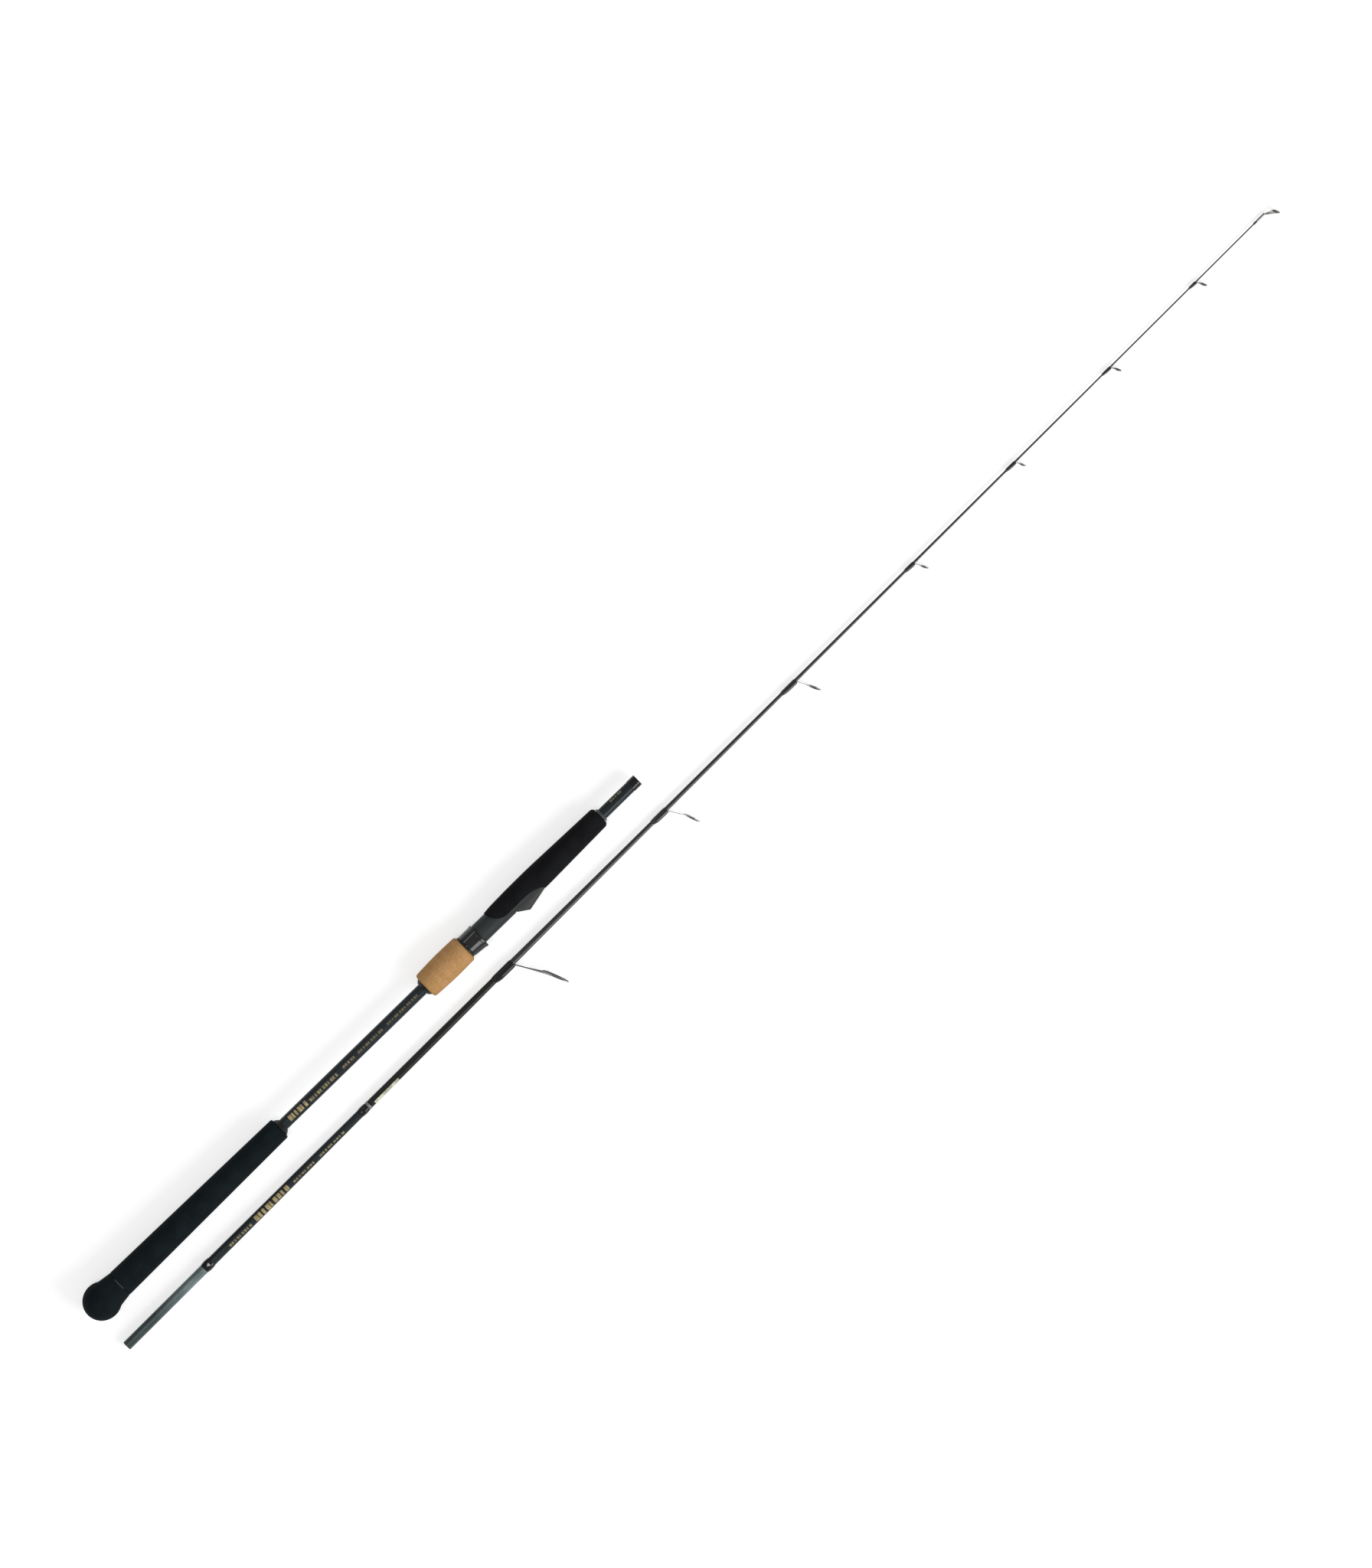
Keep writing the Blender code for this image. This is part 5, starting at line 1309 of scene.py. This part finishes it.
def rod_rings(points, widths, depth, sides=LEG_SIDES):
    """Rings along a bent bar of oval section with rounded ends. Its widths lie along the section's z axis."""
    side = Vector((0, 0, 1))
    turns = [math.tau * j / sides for j in range(sides)]
    last = len(points) - 1
    rings = []
    for k, point in enumerate(points):
        tangent = (points[min(k + 1, last)] - points[max(k - 1, 0)]).normalized()
        across = (side - tangent * tangent.dot(side)).normalized()
        up = tangent.cross(across)
        oval = [across * widths[k] / 2 * math.cos(a) + up * depth / 2 * math.sin(a) for a in turns]
        behind = [(-0.3, 0.4), (-0.15, 0.8)] if k == 0 else []
        ahead = [(0.15, 0.8), (0.3, 0.4)] if k == last else []
        for along, share in (*behind, (0.0, 1.0), *ahead):
            rings.append([point + tangent * depth * along + offset * share for offset in oval])
    return rings


def share_of(diameter, size):
    """A size that is a share of a guide's diameter, or the least that it may be."""
    share, least = size
    return max(diameter * share, least)


def hoop_and_ring(name, diameter, place, ceramic, node):
    """A guide's hoop, left for its frame, and its polished ring, settled in place."""
    sides = bpy.context.scene.rod_detail.guide_sides
    wall, depth, ring_wall = [share_of(diameter, size) for size in (HOOP_WALL, HOOP_DEPTH, RING_WALL)]
    bore = diameter / 2 - wall

    def oval(middle, half_depth, thick):
        last = HOOP_SECTION_SIDES - 1
        return arc(0.0, middle, half_depth, thick / 2, 0, 360 * last / HOOP_SECTION_SIDES, last)

    hoop = turned(f"{name}_hoop", oval((diameter / 2 + bore) / 2, depth / 2, wall), sides, 60)
    ring_outline = oval(bore - GLUE_GAP / 2 - ring_wall / 2, depth * RING_FACE_SHARE, ring_wall)
    ring = turned(f"{name}_ceramic", ring_outline, sides, 60)
    settle(ring, TIP, "guide_ring", f"{node}_ring", ceramic, place=place)
    return lay(hoop, place), bore


def finish_hoop(body, place, diameter):
    """Gives the hoop's own faces the second finish of its frame."""
    back = place.inverted()
    wall, depth = share_of(diameter, HOOP_WALL), share_of(diameter, HOOP_DEPTH)

    def on_hoop(centre):
        there = back @ centre
        return abs(there.x) < depth * 0.55 and -wall * 1.05 < there.yz.length - diameter / 2 < wall * 0.05

    finish_faces(body, 1, on_hoop)


def wrap_rings(spec):
    """Rings of the winding that tents over the blank and the guide's foot, feathered at both ends."""
    full = spec.wrap_length
    stations = (
        (0.0, -0.02, 0.0), (0.0, 0.06, 0.0), (0.0005, 0.42, 0.0), (0.0011, 0.76, 0.03), (0.0018, 0.95, 0.10),
        (WRAP_OVERLAP + 0.0015, 1.0, 0.55), (WRAP_OVERLAP + 0.0045, 1.0, 0.85), (full - 0.0022, 1.0, 1.0),
        (full - 0.0012, 0.88, 0.96), (full - 0.0004, 0.55, 0.85), (full, 0.12, 0.72), (full, -0.02, 0.5),
    )
    angles = [math.tau * k / WRAP_SIDES for k in range(WRAP_SIDES)]
    rings = []
    for along, thread, foot in stations:
        x = spec.root - full + min(along, full)
        radius = blank_radius(x) + WRAP_GLOSS_RISE * thread
        rise = (spec.foot_height + GLUE_GAP) * foot
        reaches = [(a, radius + rise * max(0.0, math.cos(a)) ** WRAP_TENT_POWER) for a in angles]
        rings.append([Vector((x, -reach * math.cos(a), reach * math.sin(a))) for a, reach in reaches])
    return rings


def build_guide(number, spec, metals, ceramic, thread):
    """One line guide: its frame of hoop, forked leg and foot, its ceramic ring, and its winding."""
    tilt, lean = math.radians(spec.tilt), math.radians(spec.lean)
    surface = blank_radius(spec.root) + GLUE_GAP
    radius = spec.ring_diameter / 2
    near = spec.ring_offset - radius * math.cos(tilt)
    near_x = spec.root + (near - surface) * math.tan(lean)
    centre = Vector((near_x + radius * math.sin(tilt), -spec.ring_offset, 0))
    place = Matrix.Translation(centre) @ Matrix.Rotation(tilt, 4, "Z")
    hoop, bore = hoop_and_ring(f"line_guide_{number}", spec.ring_diameter, place, ceramic, f"guide_{number}")
    start = Vector((spec.root + FIT_GAP, -surface - LEG_THICKNESS / 2, 0))
    end_width = min(spec.leg_width, radius - bore)
    meet = bore + end_width / 2
    sink = math.asin(meet / (centre - start).length)
    middle = centre - (centre - place @ Vector((0, 1, 0))) * meet * math.sin(sink)
    fork = start + (middle - start) * spec.fork_share
    shells = []
    for way in (-1, 1):
        touch = middle + Vector((0, 0, way * meet * math.cos(sink)))
        offset = Vector((0, 0, way * spec.leg_width * (STEM_WIDTH_SHARE - 1) / 4))
        bend = bent(fork.lerp(start, 0.35) + offset, fork + offset, fork.lerp(touch, 0.22), 8)
        widths = [spec.leg_width] * (len(bend) + 1) + [end_width]
        leg_depth = FIRST_LEG_DEPTH if number == 1 else LEG_THICKNESS
        shells.append(rod_rings([start + offset, *bend, touch], widths, leg_depth))
    foot_start = spec.root - spec.wrap_length + WRAP_OVERLAP
    foot_level = -surface - spec.foot_height * 0.5
    foot = [
        Vector((foot_start, -blank_radius(foot_start) - GLUE_GAP - spec.foot_height * 0.20, 0)),
        Vector((spec.root - 0.0010, foot_level, 0)),
        Vector((start.x + LEG_THICKNESS * 0.3, foot_level, 0)),
    ]
    widths = [spec.foot_width * share for share in (0.4, 0.9, 0.7)]
    shells.append(rod_rings(foot, widths, spec.foot_height * 0.8))
    body = joined(f"line_guide_{number}_frame", [hoop, lofted(f"guide_{number}_legs", shells, 60)])
    finish_hoop(body, place, spec.ring_diameter)
    settle(body, TIP, "guide_frame", f"guide_{number}_frame", *metals)
    wrap = lofted(f"line_guide_{number}_thread", [wrap_rings(spec)], 60)
    settle(wrap, TIP, "wrap_gloss", f"guide_{number}_wrap", thread)


def build_tip_top(metals, ceramic, thread):
    """The top guide: its tube, three struts, hoop and ceramic ring, and the winding behind it."""
    back, front = TIP_LENGTH - TIP_TOP_TUBE_LENGTH, TIP_LENGTH + FIT_GAP
    inner = blank_radius(back) + GLUE_GAP
    outer = inner + TIP_TOP_TUBE_WALL
    cap = front + 2 * outer
    centre = Vector((TIP_LENGTH + TIP_TOP_RING_AHEAD, -TIP_TOP_RING_OFFSET, 0))
    place = Matrix.Translation(centre) @ Matrix.Rotation(math.radians(TIP_TOP_TILT), 4, "Z")
    hoop, bore = hoop_and_ring("top_guide", TIP_TOP_RING_DIAMETER, place, ceramic, "tip_top")
    tube = turned("top_guide_tube", [
        (front, 0.0), (front, inner), (back, inner), (back, outer, 0.0001), (cap, outer, 0.0006), (cap, 0.0),
    ], SMALL_SIDES)
    meet = (bore + TIP_TOP_RING_DIAMETER / 2) / 2
    shells = []
    for turn in (math.radians(angle) for angle in TIP_TOP_STRUT_ANGLES):
        root = Vector((front + outer, 0, math.cos(turn) * outer / 2))
        end = place @ Vector((0, math.sin(turn) * meet, math.cos(turn) * meet))
        widths = [TIP_TOP_STRUT_WIDTH] * 3
        shells.append(rod_rings([root, root.lerp(end, 0.5), end], widths, TIP_TOP_STRUT_WIDTH, STRUT_SIDES))
    body = joined("top_guide_frame", [hoop, tube, lofted("top_guide_struts", shells, 60)])
    finish_hoop(body, place, TIP_TOP_RING_DIAMETER)
    settle(body, TIP, "guide_frame", "tip_top_frame", *metals)
    wrap_front = back - FIT_GAP
    wind("top_guide_thread", wrap_front - TIP_TOP_WRAP_LENGTH, wrap_front, GLUE_GAP + WRAP_THREAD,
         "wrap_gloss", "tip_top_wrap", thread, SMALL_SIDES)


def build_guides(colours):
    """All the guides. The windings differ a little along the rod, and the frames of some guides are painted paler,
    a painted reflection of the bright floor.
    """
    metal = colours.guide_metal
    smoked = (metal_finish("smoked guide metal", shade(metal, 0.40), 0.24),
              metal_finish("smoked hoop metal", shade(metal, 0.18), 0.30))
    # Painted reflection: paler copies of the same steel, for the guides listed above
    pale = (metal_finish("pale guide metal", shade(metal, 1.35), 0.24),
            metal_finish("pale hoop metal", shade(metal, 0.60), 0.30))
    ceramic = ceramic_finish("guide ceramic", colours.ceramic)
    first = thread_finish("first guide thread", TIP, colours.thread)
    farther = thread_finish("farther guide thread", TIP, colours.thread, HAZY_EPOXY)
    for number, spec in enumerate(GUIDES, start=1):
        metals = pale if number in GUIDES_WITH_PAINTED_REFLECTION else smoked
        build_guide(number, spec, metals, ceramic, first if number == 1 else farther)
    build_tip_top(smoked, ceramic, farther)


def build_floor(studio):
    """A pale floor that adds white where it is seen directly, mirrored or through glass."""
    deselect()
    bpy.ops.mesh.primitive_plane_add(size=FLOOR_SIZE, location=(0, 0, -FLOOR_DROP))
    floor = bpy.context.object
    floor.name = "floor"
    pale = Nodes("floor pale")
    ray = pale.add("ShaderNodeLightPath").outputs
    seen = pale.sum("MAXIMUM", ray["Is Camera Ray"], ray["Is Glossy Ray"])
    seen = pale.sum("MAXIMUM", seen, ray["Is Transmission Ray"])
    pale.put(pale.shader, Base_Color=[studio.floor_tone] * 3, Roughness=0.9, Emission_Color=(1, 1, 1),
             Emission_Strength=pale.sum("MULTIPLY", seen, studio.floor_glow))
    floor.data.materials.append(pale.material)


def build_studio(studio):
    """The floor, a grey world, a long soft lamp on the guides' side, two small lamps, and the camera."""
    scene = bpy.context.scene
    scene.view_settings.view_transform = "Standard"
    build_floor(studio)
    world = bpy.data.worlds.new("studio")
    world.use_nodes = True
    world.node_tree.nodes["Background"].inputs["Color"].default_value = (*[studio.sky_tone] * 3, 1)
    scene.world = world
    for name, place, target, long, wide in LAMPS:
        bpy.ops.object.light_add(type="AREA", location=place)
        lamp = bpy.context.object
        lamp.name = f"{name}_lamp"
        lamp.data.shape = "RECTANGLE"
        lamp.data.size = long
        lamp.data.size_y = wide
        lamp.data.energy = getattr(studio, f"{name}_power")
        lamp.rotation_euler = (Vector(target) - Vector(place)).to_track_quat("-Z", "Y").to_euler()
    height = AXIS_HEIGHT + FRAME_HEIGHT * CAMERA_LENS / SENSOR_HEIGHT
    bpy.ops.object.camera_add(location=(*CAMERA_OVER, height), rotation=(0, 0, CAMERA_TURN))
    scene.camera = bpy.context.object
    scene.camera.data.sensor_fit = "VERTICAL"
    scene.camera.data.sensor_height = SENSOR_HEIGHT
    scene.camera.data.lens = CAMERA_LENS
    scene.camera.data.clip_end = CAMERA_CLIP_END


class ROD_OT_ball(bpy.types.Operator):
    """Build the foam ball at the butt."""
    bl_idname = "rod.ball"
    bl_label = "Ball Butt"

    def execute(self, context):
        build_ball(context.scene.rod_colours)
        return {"FINISHED"}


class ROD_OT_rear_grip(bpy.types.Operator):
    """Build the tapered rear grip and the cone that ends it."""
    bl_idname = "rod.rear_grip"
    bl_label = "Rear Grip"

    def execute(self, context):
        build_rear_grip(context.scene.rod_colours)
        return {"FINISHED"}


class ROD_OT_handle_tube(bpy.types.Operator):
    """Build the handle's carbon tube, its printed bands and the winding at its mouth."""
    bl_idname = "rod.handle_tube"
    bl_label = "Handle Tube"

    def execute(self, context):
        build_handle_tube(context.scene.rod_colours)
        return {"FINISHED"}


class ROD_OT_reel_seat(bpy.types.Operator):
    """Build the reel seat's barrel, thread and fixed hood, and the cone behind it."""
    bl_idname = "rod.reel_seat"
    bl_label = "Reel Seat"

    def execute(self, context):
        build_reel_seat(context.scene.rod_colours)
        return {"FINISHED"}


class ROD_OT_lock(bpy.types.Operator):
    """Build the cork that locks the reel, and its collar."""
    bl_idname = "rod.lock"
    bl_label = "Cork and Collar"

    def execute(self, context):
        build_lock(context.scene.rod_colours)
        return {"FINISHED"}


class ROD_OT_moving_hood(bpy.types.Operator):
    """Build the glossy hood that clamps the reel's foot."""
    bl_idname = "rod.moving_hood"
    bl_label = "Moving Hood"

    def execute(self, context):
        build_moving_hood(context.scene.rod_colours)
        return {"FINISHED"}


class ROD_OT_foregrip(bpy.types.Operator):
    """Build the foregrip with its curved cut, and the ring that ends it."""
    bl_idname = "rod.foregrip"
    bl_label = "Foregrip"

    def execute(self, context):
        build_foregrip(context.scene.rod_colours)
        return {"FINISHED"}


class ROD_OT_tip_tube(bpy.types.Operator):
    """Build the tip section's tube, its ferrule, windings and printed bands."""
    bl_idname = "rod.tip_tube"
    bl_label = "Tip Tube"

    def execute(self, context):
        build_tip_tube(context.scene.rod_colours)
        return {"FINISHED"}


class ROD_OT_guides(bpy.types.Operator):
    """Build the seven line guides and the top guide."""
    bl_idname = "rod.guides"
    bl_label = "Line Guides"

    def execute(self, context):
        build_guides(context.scene.rod_colours)
        return {"FINISHED"}


class ROD_OT_studio(bpy.types.Operator):
    """Build the floor, the lamps and the camera."""
    bl_idname = "rod.studio"
    bl_label = "Studio"

    def execute(self, context):
        build_studio(context.scene.rod_studio)
        return {"FINISHED"}


BUILD_ORDER = (
    ROD_OT_ball, ROD_OT_rear_grip, ROD_OT_handle_tube, ROD_OT_reel_seat, ROD_OT_lock,
    ROD_OT_moving_hood, ROD_OT_foregrip, ROD_OT_tip_tube, ROD_OT_guides, ROD_OT_studio,
)


class ROD_PT_panel(bpy.types.Panel):
    """Lists the rod's builders and settings."""
    bl_idname = "ROD_PT_panel"
    bl_label = "Light Jigging Rod"
    bl_space_type = "VIEW_3D"
    bl_region_type = "UI"
    bl_category = "Rod"

    def draw(self, context):
        for builder in BUILD_ORDER:
            self.layout.operator(builder.bl_idname)
        for settings in (context.scene.rod_colours, context.scene.rod_detail, context.scene.rod_studio):
            box = self.layout.box()
            for name in settings.__annotations__:
                box.prop(settings, name)


CLASSES = (RodColours, RodDetail, StudioSettings, *BUILD_ORDER, ROD_PT_panel)


def register():
    """Adds the rod's classes and settings."""
    for cls in CLASSES:
        bpy.utils.register_class(cls)
    bpy.types.Scene.rod_colours = PointerProperty(type=RodColours)
    bpy.types.Scene.rod_detail = PointerProperty(type=RodDetail)
    bpy.types.Scene.rod_studio = PointerProperty(type=StudioSettings)


def unregister():
    """Takes them away again."""
    del bpy.types.Scene.rod_studio
    del bpy.types.Scene.rod_detail
    del bpy.types.Scene.rod_colours
    for cls in reversed(CLASSES):
        bpy.utils.unregister_class(cls)


def main():
    """Builds the rod and its studio."""
    register()
    bpy.ops.rod.ball()
    bpy.ops.rod.rear_grip()
    bpy.ops.rod.handle_tube()
    bpy.ops.rod.reel_seat()
    bpy.ops.rod.lock()
    bpy.ops.rod.moving_hood()
    bpy.ops.rod.foregrip()
    bpy.ops.rod.tip_tube()
    bpy.ops.rod.guides()
    bpy.ops.rod.studio()
    deselect()


if __name__ == "__main__":
    main()
